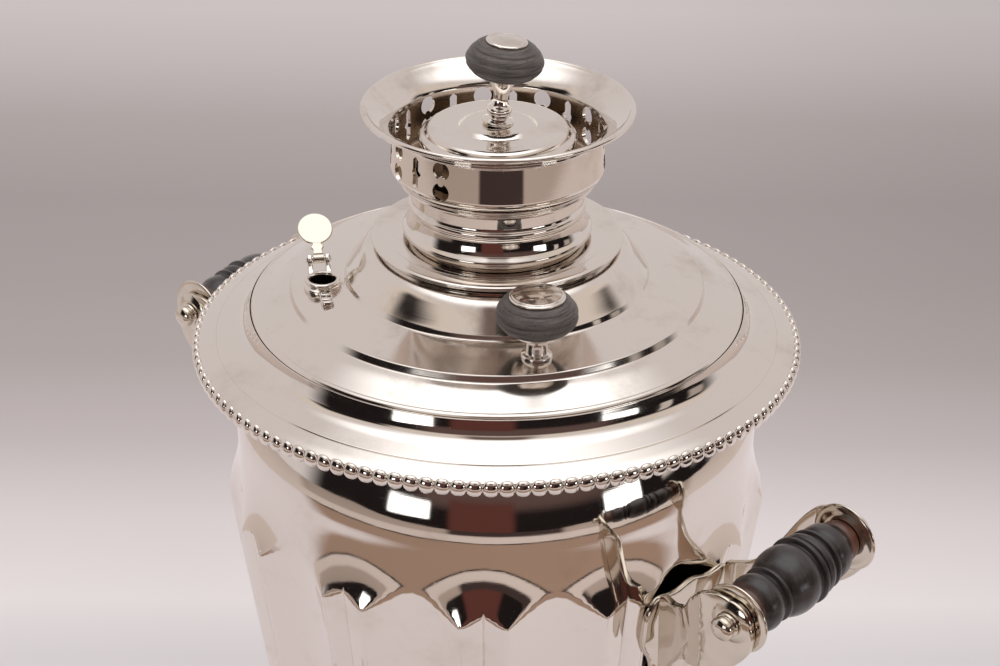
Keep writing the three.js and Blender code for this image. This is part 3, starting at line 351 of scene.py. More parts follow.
class Paint:
    """Builds one node tree by named steps."""

    def __init__(self, tree):
        self.tree = tree
        tree.nodes.clear()

    def add(self, kind, settings=None, inputs=None, output=0):
        """One node in this tree."""
        return add_node(self.tree, kind, settings, inputs, output)

    def mix(self, share, first, second):
        """A colour between two colours."""
        return self.add("ShaderNodeMix", {"data_type": "RGBA"}, {0: share, 6: first, 7: second}, 2)

    def ramp(self, share, stops):
        """A colour read from (place, colour) stops along a line."""
        line = self.add("ShaderNodeValToRGB", None, {0: share})
        elements = line.socket.node.color_ramp.elements
        while len(elements) < len(stops):
            elements.new(0.5)
        for element, (place, shade) in zip(elements, stops):
            element.position, element.color = place, shade
        return line

    def place(self):
        """Object coordinates."""
        return self.add("ShaderNodeTexCoord", output="Object")

    def along(self, where, line):
        """How far a point lies along a direction, which is their dot product."""
        return self.add("ShaderNodeVectorMath", {"operation": "DOT_PRODUCT"},
                        {0: where, 1: tuple(map(float, line))}, 1)

    def from_axis(self, line):
        """How far a point of a piece lies from the body's axis along a direction, in metres."""
        return self.along(self.place(), line) - float(line[1]) * AXIS_Y * MILLIMETRE

    def bump(self, height, strength, distance, **under):
        """A normal bent by a height, over another normal where one is given."""
        return self.add("ShaderNodeBump", None,
                        {"Strength": strength, "Distance": distance, "Height": height, **under})

    def surface(self, varied, constants):
        """The shader from its linked sockets and those that stay the same all over, and the output."""
        shader = self.add("ShaderNodeBsdfPrincipled", None, {**varied, **constants})
        self.add("ShaderNodeOutputMaterial", None, {"Surface": shader})

    def noise(self, scale, detail, stretch=None, roughness=0.55):
        """A soft random pattern, drawn out along the axes where a stretch is given."""
        where = self.place()
        if stretch:
            where = self.add("ShaderNodeMapping", None, {"Vector": where, "Scale": stretch})
        return self.add("ShaderNodeTexNoise", None,
                        {"Vector": where, "Scale": scale, "Detail": detail, "Roughness": roughness})


def colour(red, green, blue):
    """A display colour of 0 to 255 as the linear colour a socket holds."""
    shares = np.array([red, green, blue]) / 255
    light = np.where(shares <= 0.04045, shares / 12.92, ((shares + 0.055) / 1.055) ** 2.4)
    return (*map(float, light), 1.0)


def linear(red, green, blue):
    """A display colour as the three linear numbers that a colour property holds."""
    return colour(red, green, blue)[:3]


def new_finish(name):
    """An empty material and its paint."""
    material = bpy.data.materials.new(name)
    material.use_nodes = True
    return material, Paint(material.node_tree)


def nickel(name, tones, haze=0.05, base=0.045, waves=0.35, tarnish=0.35, burnt=None):
    """Polished nickel: slow waves and hair lines bend the light, smudges and tarnish dull it.

    Burnt gives a radius and two heights, and the metal inside them is browned by the fire.
    """
    material, paint = new_finish(name)
    bright, dull = tones
    smudge = paint.noise(14.0, 4.0).step(0.42, 0.75)
    stain = paint.noise(31.0, 5.0, roughness=0.65).step(0.5, 0.8)
    speck = paint.noise(1400.0, 1.0).step(0.74, 0.82)
    hair = paint.noise(1.0, 2.0, (55, 55, 2600))
    slow = paint.noise(22.0, 1.0)
    body = paint.mix(stain * tarnish, (*bright, 1.0), (*dull, 1.0))
    body = paint.mix(speck * 0.5, body, colour(120, 106, 92))
    rough = base + smudge * haze + stain * (haze * 1.2) + speck * 0.25
    if burnt:
        edge, low, high = burnt
        across, deep, height = (paint.from_axis(line) for line in np.eye(3))
        radius = (across * across + deep * deep) ** 0.5
        inside = (1 - radius.step(edge - 0.0006, edge + 0.0002)) * height.between(low, high, 0.002)
        body = paint.mix(inside * (0.65 + stain * 0.35), body, colour(150, 118, 78))
        rough = rough + inside * 0.16
    ripple = paint.bump(slow, waves, 0.0006)
    scratch = paint.bump(hair, 0.02, 0.0002, Normal=ripple)
    paint.surface({"Base Color": body, "Roughness": rough, "Normal": scratch}, {"Metallic": 1.0})
    return material


def plain_metal(name, light, dark, rough, metallic, grain):
    """Unpolished metal: blotched colour, pitted skin."""
    material, paint = new_finish(name)
    blotch = paint.noise(60.0, 5.0)
    pits = paint.noise(grain, 4.0)
    body = paint.mix(blotch.step(0.35, 0.7), colour(*light), colour(*dark))
    varied = {"Base Color": body, "Roughness": rough + blotch * 0.2, "Normal": paint.bump(pits, 0.3, 0.0003)}
    paint.surface(varied, {"Metallic": metallic})
    return material


def turned_wood(name, light, dark, streaks, rough, polish, ends=None):
    """Turned wood: fine lines round the piece, pores, and rubbed patches.

    Ends gives where a rubbed colour starts and is full, in metres along the piece, and that colour.
    """
    material, paint = new_finish(name)
    grain = paint.noise(1.0, 4.0, streaks, 0.7)
    pores = paint.noise(900.0, 2.0).step(0.6, 0.72)
    worn = paint.noise(70.0, 4.0).step(0.4, 0.75)
    body = paint.mix(grain.step(0.3, 0.75), (*light, 1.0), colour(*dark))
    body = paint.mix(pores * 0.5, body, colour(20, 16, 15))
    if ends:
        start, full, rubbed = ends
        along = paint.from_axis((0, 1, 0))
        away = along.sum("ABSOLUTE", along)
        body = paint.mix(away.step(start, full) * (0.5 + worn * 0.5), body, colour(*rubbed))
    varied = {"Base Color": body, "Roughness": rough + worn * 0.14 + pores * 0.15,
              "Normal": paint.bump(grain + pores * -0.8, 0.35, 0.0002)}
    paint.surface(varied, {"Metallic": 0.0, "Coat Weight": polish, "Coat Roughness": 0.22})
    return material


FINISHES = {}


def finishes():
    """Makes each finish once and gives it to the frame's own nodes."""
    if FINISHES:
        return FINISHES
    tones = bpy.context.scene.samovar_colours
    plated = tones.bright_nickel, tones.dull_nickel
    worn, grimy = linear(214, 205, 192), (linear(170, 158, 140), linear(104, 88, 68))
    FINISHES.update({
        "body_nickel": nickel("body nickel", plated, waves=0.4),
        "lid_nickel": nickel("lid nickel", plated, 0.13, 0.065, 0.5, 0.55),
        "crown_nickel": nickel("crown nickel", plated, 0.11, tarnish=0.75, burnt=(0.0437, 0.4435, 0.4642)),
        "handle_nickel": nickel("handle nickel", (worn, linear(150, 132, 108)), 0.1, 0.1, 0.5, 0.7),
        "base_nickel": nickel("base nickel", plated, 0.08, 0.06),
        "tap_nickel": nickel("tap nickel", (worn, linear(156, 138, 112)), 0.1, 0.09, 0.4, 0.6),
        "dull_nickel": nickel("dull nickel", grimy, 0.2, 0.25, 0.5, 0.9),
        "brass": plain_metal("dull brass", (178, 142, 84), (128, 98, 58), 0.32, 1.0, 900.0),
        "iron": plain_metal("sooty iron", (70, 66, 62), (34, 30, 28), 0.62, 0.6, 500.0),
        "knob_wood": turned_wood("weathered wood", tones.knob_wood, (50, 44, 42), (90, 90, 1500), 0.5, 0.1),
        "grip_wood": turned_wood("dark wood", tones.grip_wood, (20, 16, 17), (120, 1400, 120), 0.3, 0.35,
                                 (0.0265, 0.0305, (96, 58, 44))),
    })
    rows = {row["node"]: row["material_slot"] for row in frame["record"]["subparts"]}
    for node, piece in frame["nodes"].items():
        piece.data.materials.clear()
        piece.data.materials.append(FINISHES[rows[node]])
    return FINISHES


def lathe(name, corners, body, slot, replaced, sides=192, closed=True, move=(0, 0, 0)):
    """A turned piece from its profile's corners, carried to its place."""
    points = turned(corners, sides, closed) + np.array(move, float)
    return make(name, [(points, True, closed)], body, slot, replaced)


# Base

FOOT_SPOTS = 64 * np.array([(1, 1, 0), (-1, 1, 0), (-1, -1, 0), (1, -1, 0)])
PLINTH_HALF, PLINTH_SIDE = 84.0, 69.0  # from the middle to a side, and half the length of a side
DOME_SEAT = 62
NECK_HOLES, NECK_HOLE_LEVEL = 12, 71.8


def feet():
    """Turned bun feet with a ring under the plinth."""
    profile = [
        (0, 0), (8, 0, 1), (11.4, 3.4, 3.2), (11.2, 8.2, 3), (7.2, 10.6, 0.8), (8.6, 11.6, 0.7),
        (8.6, 12.8, 0.7), (6.5, 13.4, 0.5), (6.5, 15), (0, 15)]
    for number, spot in enumerate(FOOT_SPOTS, 1):
        lathe(f"foot_{number}_bun", profile, "vessel", "base_nickel", (f"foot_{number}",), 48, False, spot)


def plinth():
    """A square plinth with cut corners: each ring is the square drawn in by a distance, or a circle."""
    half, near = PLINTH_HALF, PLINTH_SIDE
    square = rounded([(x, y, 2.5) for x, y in [
        (half, -near), (half, near), (near, half), (-near, half), (-half, near), (-half, -near),
        (-near, -half), (near, -half)]], steps=5)
    fine = divided(square, 10)
    angle = np.arctan2(fine[:, 1], fine[:, 0])
    circle = np.stack([np.cos(angle), np.sin(angle)], 1)
    section = rounded([
        (0, 15.3, 0.3), (0, 18.2, 0.5), (1.3, 19.2, 0.5), (1.3, 22.4, 0.8), (3.2, 24.2, 1.4),
        (3.2, 25.6, 0.3), (4.6, 26.6, 0.6), (5.2, 27.3, 0.4)], closed=False)
    rings = [(fine * (1 - inward / half), height) for inward, height in section]
    hollow = fine * (1 - 2 / half)
    rings += [(circle * DOME_SEAT, 27.3), (circle * DOME_SEAT, 25.4), (hollow, 25.4), (hollow, 15.3)]
    grid = np.array([at_height(line, height) for line, height in rings])
    post = turned([(0, 15.4), (7.8, 15.4, 0.3), (7.8, 26, 0.3), (0, 26)], 24)
    parts = [(grid, *RING), *((post + spot, *BAR) for spot in FOOT_SPOTS)]
    make("plinth", parts, "vessel", "base_nickel", ("base_plinth",))


def dome():
    """The stepped dome between plinth and neck."""
    lathe("stepped_dome", [
        (75, 27.6, 0.3), (75, 30.2, 0.8), (73.2, 31.2, 0.5), (73.2, 32.4, 0.6), (66, 33.4, 3),
        (58.8, 38, 5), (52.6, 44, 6), (49, 50, 4), (48.4, 53, 0.5), (49.6, 53.8, 0.6), (49.6, 55.2, 0.6),
        (47.5, 56, 0.3), (43.2, 56, 0.3), (43.2, 54.6, 0.3), (46.4, 52, 2), (50.4, 44, 4), (57, 36.6, 4),
        (66, 31.8, 3), (73.4, 29, 0.6), (73.4, 27.6, 0.3)], "vessel", "base_nickel", ("base_dome",))


def neck():
    """The draught neck, with a row of round air holes."""
    piece = lathe("draught_collar", [
        (47.5, 56.3, 0.4), (47.5, 58.6, 0.8), (44.6, 60.4, 1.2), (43, 64.4, 2), (43, 79.3, 2),
        (44.6, 83.2, 1.2), (47.5, 85, 0.8), (47.5, 87.3, 0.4), (41.5, 87.3), (41.5, 83.9), (39, 83.9, 0.2),
        (39, 56.3, 0.2)],
        "vessel", "dull_nickel", ("draught_neck",))
    bore = turned([(0, 34), (3.6, 34), (3.6, 52), (0, 52)], 20) @ spin(90, "Y").T + UP * NECK_HOLE_LEVEL
    pitch = 360 / NECK_HOLES
    cut(piece, [(bore @ spin(pitch * (number + 0.5)).T, *BAR) for number in range(NECK_HOLES)], "dull_nickel")


def bowl():
    """The turned bowl under the wall, with a rolled moulding at its rim."""
    lathe("bowl_shell", [
        (48.6, 87.6, 0.5), (56, 89.2, 5), (68, 93.8, 7), (80, 102, 7), (89, 112.4, 6), (91.4, 118, 0.7),
        (93.4, 119, 0.6), (97.2, 119.8, 2), (97.4, 122.4, 1.8), (93.6, 124.3, 0.8), (90.6, 124.3, 0.2),
        (90.6, 122.6, 0.3), (90.4, 118.4, 1), (87.4, 113, 5), (79, 104, 7), (67, 95.6, 7), (56, 91, 5),
        (48, 89.2, 1), (41.5, 89.2, 0.2), (41.5, 87.6, 0.2)],
        "vessel", "body_nickel", ("body_bowl",))


# Wall

# Panels, the degrees from a panel's middle to its ridge, and half the distance between two middles.
FACETS, FACET_HALF = 12, 10.3
HALF_PITCH = 180 / FACETS
FACET_COSINE = math.cos(math.radians(FACET_HALF))
WALL_FOOT, WALL_TOP = 124.6, 361.9
WALL_SHEET, WALL_CREASE = 1.6, 0.35
RIDGE_RADIUS, RIDGE_LEVEL, RIDGE_SLOPE = 120, 298, 0.149
# The flare starts at a height over the panels and so much higher over the strips, and grows by a factor
# times the depth squared.
FLARE_START, STRIP_LIFT = 312, 10
FLARE, STRIP_FLARE = 0.0044, 0.0028
# Dish that is added towards the arched top: how much, from which height, and over what height.
TOP_DISH, DISH_START, DISH_SPAN = 0.027, 235, 70
STRIP_STEP, LINE_WIDTH = 0.021, 0.13


def soft_least(one, two, soft):
    """The lesser of two fields, with the crease between them rounded over a soft span."""
    gap = np.clip(0.5 + 0.5 * (two - one) / soft, 0, 1)
    return two * (1 - gap) + one * gap - soft * gap * (1 - gap)


def from_middle(turn):
    """Degrees between an angle and the middle of its nearest panel."""
    return np.abs((turn + HALF_PITCH) % (2 * HALF_PITCH) - HALF_PITCH)


def ridge_radius(height):
    """Radius of the ridges between the panels, which lean outwards all the way up."""
    return RIDGE_RADIUS + RIDGE_SLOPE * (height - RIDGE_LEVEL)


def facet_reach(height):
    """Distance of a flat panel's middle from the axis."""
    return ridge_radius(height) * FACET_COSINE


def shoulder_radius(turn, height):
    """Radius of the round shoulder, a smooth line through measured points, and of the flare under it.

    The flare grows with the square of the depth below its start, which is highest over the strips.
    """
    line = curve([
        (361.9, 103.4), (356, 105.8), (350.5, 108.2), (345, 110.4), (340.5, 111.9), (336, 112.95),
        (332, 113.45), (328.5, 113.6), (324, 113.45), (320, 113.4), (300, 113.4), (124.6, 113.4)])[::-1]
    strip_share = np.sin(np.radians(from_middle(turn) * (90 / HALF_PITCH)))
    depth = np.clip(FLARE_START + STRIP_LIFT * strip_share - height, 0, None)
    return np.interp(height, *line.T) + (FLARE + STRIP_FLARE * strip_share) * depth**2


def facet_radius(turn, height):
    """Radius of the faceted wall: dished panels between ridges, and a shallow grooved strip beside each.

    A panel is a flat one drawn in by a parabola, deepest at its middle and towards its arched top. Fine
    lines are let in along both edges of a strip and its middle, each a narrow bell curve.
    """
    sizes = bpy.context.scene.samovar_sizes
    offset = from_middle(turn)
    share = np.clip(offset / FACET_HALF, 0, 1)
    dish = sizes.panel_dish + TOP_DISH * np.clip((height - DISH_START) / DISH_SPAN, 0, 1)
    panel = FACET_COSINE / np.cos(np.radians(offset)) - dish * (1 - share**2)
    to_groove = np.clip((HALF_PITCH - offset) / (HALF_PITCH - FACET_HALF), 0, 1)
    strip = 1 - STRIP_STEP + STRIP_STEP * to_groove
    lines = sum(np.exp(-((offset - place) / LINE_WIDTH) ** 2) for place in (FACET_HALF + 0.1, HALF_PITCH))
    radius = ridge_radius(height) * np.where(offset < FACET_HALF, panel, strip)
    return radius - sizes.line_depth / MILLIMETRE * lines


def wall():
    """The faceted wall: at each angle and height, the lesser of the panels' and the shoulder's radius."""
    panel = FACET_HALF * np.array([0, 0.2, 0.4, 0.6, 0.75, 0.86, 0.94, 0.98, 1.0])
    strip = (HALF_PITCH - FACET_HALF) * np.array([0.022, 0.045, 0.08, 0.3, 0.6, 0.9, 0.955, 0.98, 1.0])
    half = np.concatenate([panel, FACET_HALF + strip])
    local = np.concatenate([-half[1:-1][::-1], half])
    turn = (np.arange(FACETS)[:, None] * 2 * HALF_PITCH + local).ravel()
    height = np.concatenate([
        np.linspace(WALL_FOOT, 284, 15), np.linspace(285.5, 319.5, 60), np.linspace(321, WALL_TOP, 28)])
    turn, level = np.meshgrid(turn, height, indexing="ij")
    outside = soft_least(facet_radius(turn, level), shoulder_radius(turn, level), WALL_CREASE)
    outer, inner = (on_circle(radius, np.radians(turn), level) for radius in (outside, outside - WALL_SHEET))
    grid = np.concatenate([outer, inner[:, ::-3]], 1)
    make("faceted_wall", [(grid, *RING)], "vessel", "body_nickel", ("body_wall",))


# Rim

# Middle of the string, and how far a bead stands outwards and inwards from it.
BEAD_RADIUS, BEAD_LEVEL = 129.2, 365.6
BEAD_OUT, BEAD_IN = 2.1, 1.155
BEAD_SAMPLES, BEAD_SIDES = 16, 20


def rim():
    """The flanged rim, a gutter section with a cove up to the lid's seat."""
    lathe("flanged_rim", [
        (106.5, 362.2, 0.2), (126.4, 362.2, 0.4), (126.6, 366.0, 0.6), (129.0, 366.8, 0.4),
        (129.5, 367.8, 0.5), (127.0, 369.2, 2), (121.3, 371.1, 0.2), (120.9, 370.9, 0.1),
        (120.5, 371.4, 0.2), (112.6, 373.8, 1.2), (110.6, 374.8, 1), (108.6, 376.7, 1.4),
        (107.3, 379.7, 1.4), (106.4, 383.3, 0.3), (106.0, 383.2, 0.2), (105.9, 380.1, 0.2),
        (103, 380.1, 0.3), (103, 361.2, 0.3), (104.4, 361.2, 0.3), (104.4, 378.6, 0.3), (105.7, 378.2, 0.5),
        (107.4, 375.0, 1.4), (111.4, 372.0, 1.6), (119.5, 369.4, 2), (125.4, 367.2, 0.5),
        (125.2, 363.6, 0.3), (106.5, 363.6, 0.2)],
        "vessel", "body_nickel", ("rim_ring",), 384)


def beads():
    """A string of barrel beads: the section is an ellipse whose size swells and narrows once to each bead."""
    sizes = bpy.context.scene.samovar_sizes
    samples = sizes.bead_count * BEAD_SAMPLES
    turn = np.arange(samples) / samples
    phase = (turn * sizes.bead_count) % 1.0
    swell = np.clip(1 - np.abs(2 * phase - 1) ** 2.4, 0, 1) ** 0.45
    size = (0.15 + 0.85 * swell)[:, None]
    section = np.linspace(0, 2 * np.pi, BEAD_SIDES, endpoint=False)
    out = np.cos(section) * np.where(np.cos(section) > 0, BEAD_OUT, BEAD_IN)
    radius = BEAD_RADIUS + size * out
    height = BEAD_LEVEL + sizes.bead_height / MILLIMETRE / 2 * size * np.sin(section)
    grid = on_circle(radius, 2 * np.pi * turn[:, None], height)
    make("bead_string", [(grid, *RING)], "vessel", "body_nickel", ("bead_ring",))


# Lid

KNOB_TURN, KNOB_REACH = -30.5, 76.0
VENT_TURN, VENT_REACH = -122.5, 75.0
VENT_OPEN = -145
LID_SHELF = 395.1


def lid():
    """The stepped lid with the vent's bore, and the plate on top of it."""
    piece = lathe("stepped_lid", [
        (31.8, 409.6, 0.2), (31.8, 411, 0.3), (53.6, 411, 1.6), (56.6, 409.2, 2.4), (60.6, 404, 3),
        (63.6, 400, 1.6), (64.4, 399, 0.35), (65.4, 396.9, 0.5), (76, 395.2, 3), (87.9, 393.2, 0.45),
        (89.0, 390.3, 0.6), (93.5, 389.0, 3), (98.6, 386.5, 3), (103.3, 384.5, 0.3), (103.8, 384.8, 0.3),
        (104.9, 384.4, 0.5), (105.7, 383.2, 0.6), (105.8, 380.4, 0.3), (102.7, 380.4, 0.2),
        (102.7, 365.4, 0.3), (101.3, 365.4, 0.3), (101.3, 382.4, 0.8), (88.3, 388.4, 1), (87, 391.5, 1),
        (64.2, 395.3, 2), (53, 409.0, 2), (52, 409.6, 0.3)], "lid", "lid_nickel", ("lid_shell",), 384)
    bore = turned([(0, 386), (6.9, 386), (6.9, 402), (0, 402)], 32) + outwards(VENT_TURN, VENT_REACH)
    cut(piece, [(bore, *BAR)], "lid_nickel")
    lathe("lid_top_plate", [
        (31.9, 411.3, 0.2), (49.8, 411.3, 0.3), (50.4, 413.0, 0.3), (53.2, 413.1, 0.5), (53.6, 414.4, 0.6),
        (52.4, 415.4, 0.8), (47, 415.5, 2), (46.6, 415.35, 0.15), (46.2, 415.5, 0.2), (37.2, 415.5, 0.4),
        (36.6, 416.2, 0.3), (36.6, 417.4, 0.3), (35.6, 417.4, 0.2), (35.6, 412.7, 0.2),
        (31.9, 412.7, 0.2)], "lid", "lid_nickel", ("lid_plate",), 256)


def knobs():
    """Each lid knob: plated stem and cup, two-ring wooden ball, domed cap with two raised rings."""
    for number in (1, 2):
        spot = outwards(KNOB_TURN + 180 * (number - 1), KNOB_REACH) + UP * LID_SHELF
        lathe(f"knob_stem_{number}", [
            (0, -12), (2, -12, 0.2), (2, -0.9, 0.1), (6.4, -0.8, 0.3), (6.4, 1.3, 0.6), (4.6, 2.0, 0.5),
            (4.3, 6.6, 1.5), (5.2, 8.8, 1.0), (9.4, 10.2, 0.8), (9.9, 11.4, 0.4), (9.4, 11.9, 0.3),
            (0, 11.9)],
            "lid", "lid_nickel", (f"lid_knob_stem_{number}",), 64, False, spot)
        lathe(f"knob_ball_{number}", [
            (0, 0), (9.2, 0, 0.6), (13.6, 1.1, 1.6), (16.2, 4.0, 1.8), (16.7, 6.2, 0.8), (15.9, 7.1, 0.3),
            (15.9, 7.5, 0.3), (16.6, 8.3, 0.8), (16.0, 10.2, 1.2), (14.6, 11.6, 0.4), (14.3, 11.9, 0.3),
            (14.2, 12.6, 0.5), (12.4, 13.7, 0.7), (11.6, 13.9, 0.3), (0, 13.9)],
            "lid", "knob_wood", (f"lid_knob_wood_{number}",), 96, False, spot + UP * 12.1)
        lathe(f"knob_disc_{number}", [
            (0, 0), (11.2, 0, 0.3), (11.5, 0.7, 0.5), (10.9, 1.3, 0.25), (10.5, 1.35, 0.2),
            (10.2, 1.8, 0.4), (9.6, 1.9, 0.3), (6, 2.9, 3), (0, 3.3)],
            "lid", "lid_nickel", (f"lid_knob_cap_{number}",), 96, False, spot + UP * 26.2)


def vent():
    """The steam vent: ringed socket with two scrolled ears and a lug, pin, and a flap stood open."""
    place = outwards(VENT_TURN, VENT_REACH) + UP * LID_SHELF
    pin_spot = np.array([0, 14, middle("vent_pin")[2] - LID_SHELF])
    top, pin_level = 4.2, pin_spot[2]

    def seat(grid):
        """Drawn round the bore with the hinge behind it, then turned and carried to the vent's place."""
        return grid @ spin(VENT_TURN + 180).T + place

    ring = turned([
        (5.5, -5, 0.2), (6.4, -5, 0.2), (6.5, -0.9, 0.1), (8.0, -0.8, 0.4), (8.0, 0.9, 0.6),
        (6.9, 1.7, 0.5), (6.8, 2.4, 0.3), (7.5, 2.9, 0.4), (7.5, top - 0.3, 0.5), (6.8, top, 0.3),
        (5.9, top, 0.4), (5.5, top - 1, 0.4)], 72, True)
    parts = [(seat(ring), *RING)]
    ear = rounded([
        (6.2, -0.6, 0.5), (13.6, -0.6, 1.0), (14.6, 2.4, 1.2), (16.2, pin_level - 1.6, 1.2),
        (16.6, pin_level + 1, 1.4), (14.4, pin_level + 2.4, 1.4), (12.2, pin_level + 1.2, 1.2),
        (10.6, pin_level - 2.2, 1.6), (6.6, 2.6, 1)], steps=5)
    for side in (-3.8, 3.8):
        leaf = pillow(ear, 1.0, 0.5, rows=4)
        leaf = np.stack([leaf[..., 2] + side, leaf[..., 0], leaf[..., 1]], -1)
        parts.append((seat(leaf), *STACK))
    lug = rounded([
        (-2.5, -6.4, 0.4), (2.5, -6.4, 0.4), (2.7, -16.6, 0.7), (1.7, -18.6, 0.8), (-1.7, -18.6, 0.8),
        (-2.7, -16.6, 0.7)], steps=5)
    block = pillow(lug, 1.2, 0.4, rows=4) + UP * 0.7
    parts.append((seat(block), *STACK))
    for near in (-8.0, -12.8):
        far = near - 3.6
        line = rounded([(-1.8, near, 0.2), (1.8, near, 0.2), (1.9, far, 0.2), (-1.9, far, 0.2)], steps=3)
        parts.append((seat(edging(line, 2.0, 0.4)), *STACK))
    make("vent_seat", parts, "lid", "lid_nickel", ("vent_socket",))
    pin = turned([
        (0, -5.5), (1, -5.5, 0.2), (1.6, -5.1, 0.4), (1.6, -4.9, 0.2), (1.0, -4.8, 0.1), (1.0, 4.8, 0.1),
        (1.6, 4.9, 0.2), (1.6, 5.1, 0.4), (1, 5.5, 0.2), (0, 5.5)], 24) @ spin(90, "Y").T
    make("vent_hinge_pin", [(seat(pin + pin_spot), *BAR)], "lid", "lid_nickel", ("vent_pin",))
    disc = turned([
        (0, -1.7), (7.4, -1.7, 0.3), (7.6, -0.7, 0.4), (6.9, -0.1, 0.3), (6.2, -0.1, 0.3), (5.5, -0.9, 0.5),
        (4.8, -0.9, 0.3), (4.0, -0.1, 0.5), (3.2, -0.1, 0.4), (2.2, -0.7, 0.6),
        (0, -0.8)], 64) + np.array([0, -14.0, 0])
    bar = rounded([
        (-2.2, -1.45, 0.3), (2.2, -1.45, 0.3), (1.9, -3.6, 0.5), (3.0, -5.0, 0.6), (2.0, -6.2, 0.5),
        (2.0, -9, 0.4), (-2.0, -9, 0.4), (-2.0, -6.2, 0.5), (-3.0, -5.0, 0.6), (-1.9, -3.6, 0.5)], steps=5)
    strap = pillow(bar, 0.75, 0.35, rows=4) - UP * 0.9
    knuckle = turned([
        (1.25, -2.4, 0.1), (2.0, -2.4, 0.3), (2.0, 2.4, 0.3), (1.25, 2.4, 0.1)], 32, True) @ spin(90, "Y").T
    window = rounded([(-1.0, -5.2, 0.2), (1.0, -5.2, 0.2), (1.0, -7.4, 0.2), (-1.0, -7.4, 0.2)], steps=3)
    shut = [(disc, *BAR), (strap, *STACK), (knuckle, *RING), (edging(window, -0.12, 0.28), *STACK)]
    open_wide = spin(VENT_OPEN, "X").T
    raised = [(seat(grid @ open_wide + pin_spot), *closes) for grid, *closes in shut]
    make("vent_lid", raised, "vent_flap", "lid_nickel", ("vent_flap",), "handle_nickel")


# Crown

BAND_RADIUS, BAND_MIDDLE = 44, 455.2
FIRST_HOLE, HOLE_PITCH, HOLE_COUNT = -73.9, -17.5, 15
PAIR_RISE = 4.6


def crown_base():
    """The crown's collar, which stands over the fire tube."""
    lathe("crown_collar", [
        (34.3, 413.3, 0.2), (35.3, 413.3, 0.2), (35.3, 417.7, 0.2), (40.0, 417.7, 0.3), (40.2, 419.4, 0.8),
        (39.2, 420.5, 0.6), (38.4, 421.4, 0.8), (37.5, 424, 2), (36.9, 427.4, 0.6), (37.2, 428.2, 0.3),
        (37.7, 429.2, 0.7), (37.6, 430.8, 0.6), (36.6, 431.6, 0.3), (36.2, 432.6, 0.5), (36.2, 438.2, 1.0),
        (37.2, 439.2, 0.6), (40.4, 439.8, 0.8), (41.0, 440.3, 0.3), (41.4, 441.0, 0.5), (41.0, 441.6, 0.2),
        (41.6, 442.3, 0.5), (41.6, 443.1, 0.3), (38, 443.3, 0.2), (34.3, 443.3, 0.2)],
        "crown", "crown_nickel", ("crown_foot",), 256)


def hole_outline(kind):
    """Outline of one draught hole: a round with a notch, or a tall slit with pointed sides."""
    if kind == "slit":
        return rounded([
            (0, 7.2, 0.6), (1.7, 5.6, 0.4), (1.6, 1.6, 0.3), (3.4, 0, 0.5), (1.6, -1.6, 0.3),
            (1.7, -5.6, 0.4), (0, -7.2, 0.6), (-1.7, -5.6, 0.4), (-1.6, -1.6, 0.3), (-2.2, 0, 0.4),
            (-1.6, 1.6, 0.3), (-1.7, 5.6, 0.4)], steps=4)
    angle = np.radians(np.linspace(-69, 249, 34))
    ring = 3.9 * np.stack([np.cos(angle), np.sin(angle)], 1)
    notch = np.radians(np.linspace(168, 12, 9))
    bite = np.array([0, -3.9]) + 1.4 * np.stack([np.cos(notch), np.sin(notch)], 1)
    shape = np.concatenate([ring, bite])
    return shape if kind == "upper" else shape * np.array([1, -1])


def gallery():
    """The pierced band and its flared lip."""
    piece = lathe("crown_band", [
        (34.3, 443.6, 0.2), (41.4, 443.6, 0.8), (43.8, 444.6, 1.4), (45.0, 447, 1.2), (44.3, 463.2, 0.3),
        (45.3, 463.6, 0.3), (45.5, 464.4, 0.4), (45.1, 465.0, 0.3), (46.6, 466.6, 1.6), (50.5, 468.9, 3),
        (55.2, 470.6, 1.2), (57.0, 471.4, 0.5), (57.4, 472.5, 0.6), (56.7, 473.4, 0.5), (55.4, 473.5, 0.6),
        (54.2, 472.3, 1.2), (50, 470.4, 3), (46.2, 467.8, 2), (43.9, 465.0, 1.6), (43.3, 462.4, 1.2),
        (43.3, 446.6, 1), (42.2, 445, 1), (34.3, 445, 0.2)],
        "crown", "crown_nickel", ("crown_gallery",), 288)
    tools = []
    for number in range(HOLE_COUNT):
        kinds = [("upper", PAIR_RISE), ("lower", -PAIR_RISE)] if number % 2 == 0 else [("slit", 0.0)]
        for kind, rise in kinds:
            plug = pillow(hole_outline(kind), 5.0, 0.01, rows=2)
            plug = np.stack([plug[..., 2] + BAND_RADIUS, plug[..., 0], plug[..., 1] + BAND_MIDDLE + rise], -1)
            tools.append((plug @ spin(FIRST_HOLE + HOLE_PITCH * number).T, *STACK))
    cut(piece, tools, "crown_nickel")


# Cap

CAP_TOP, CAP_LEAN = 465.5, -5.5


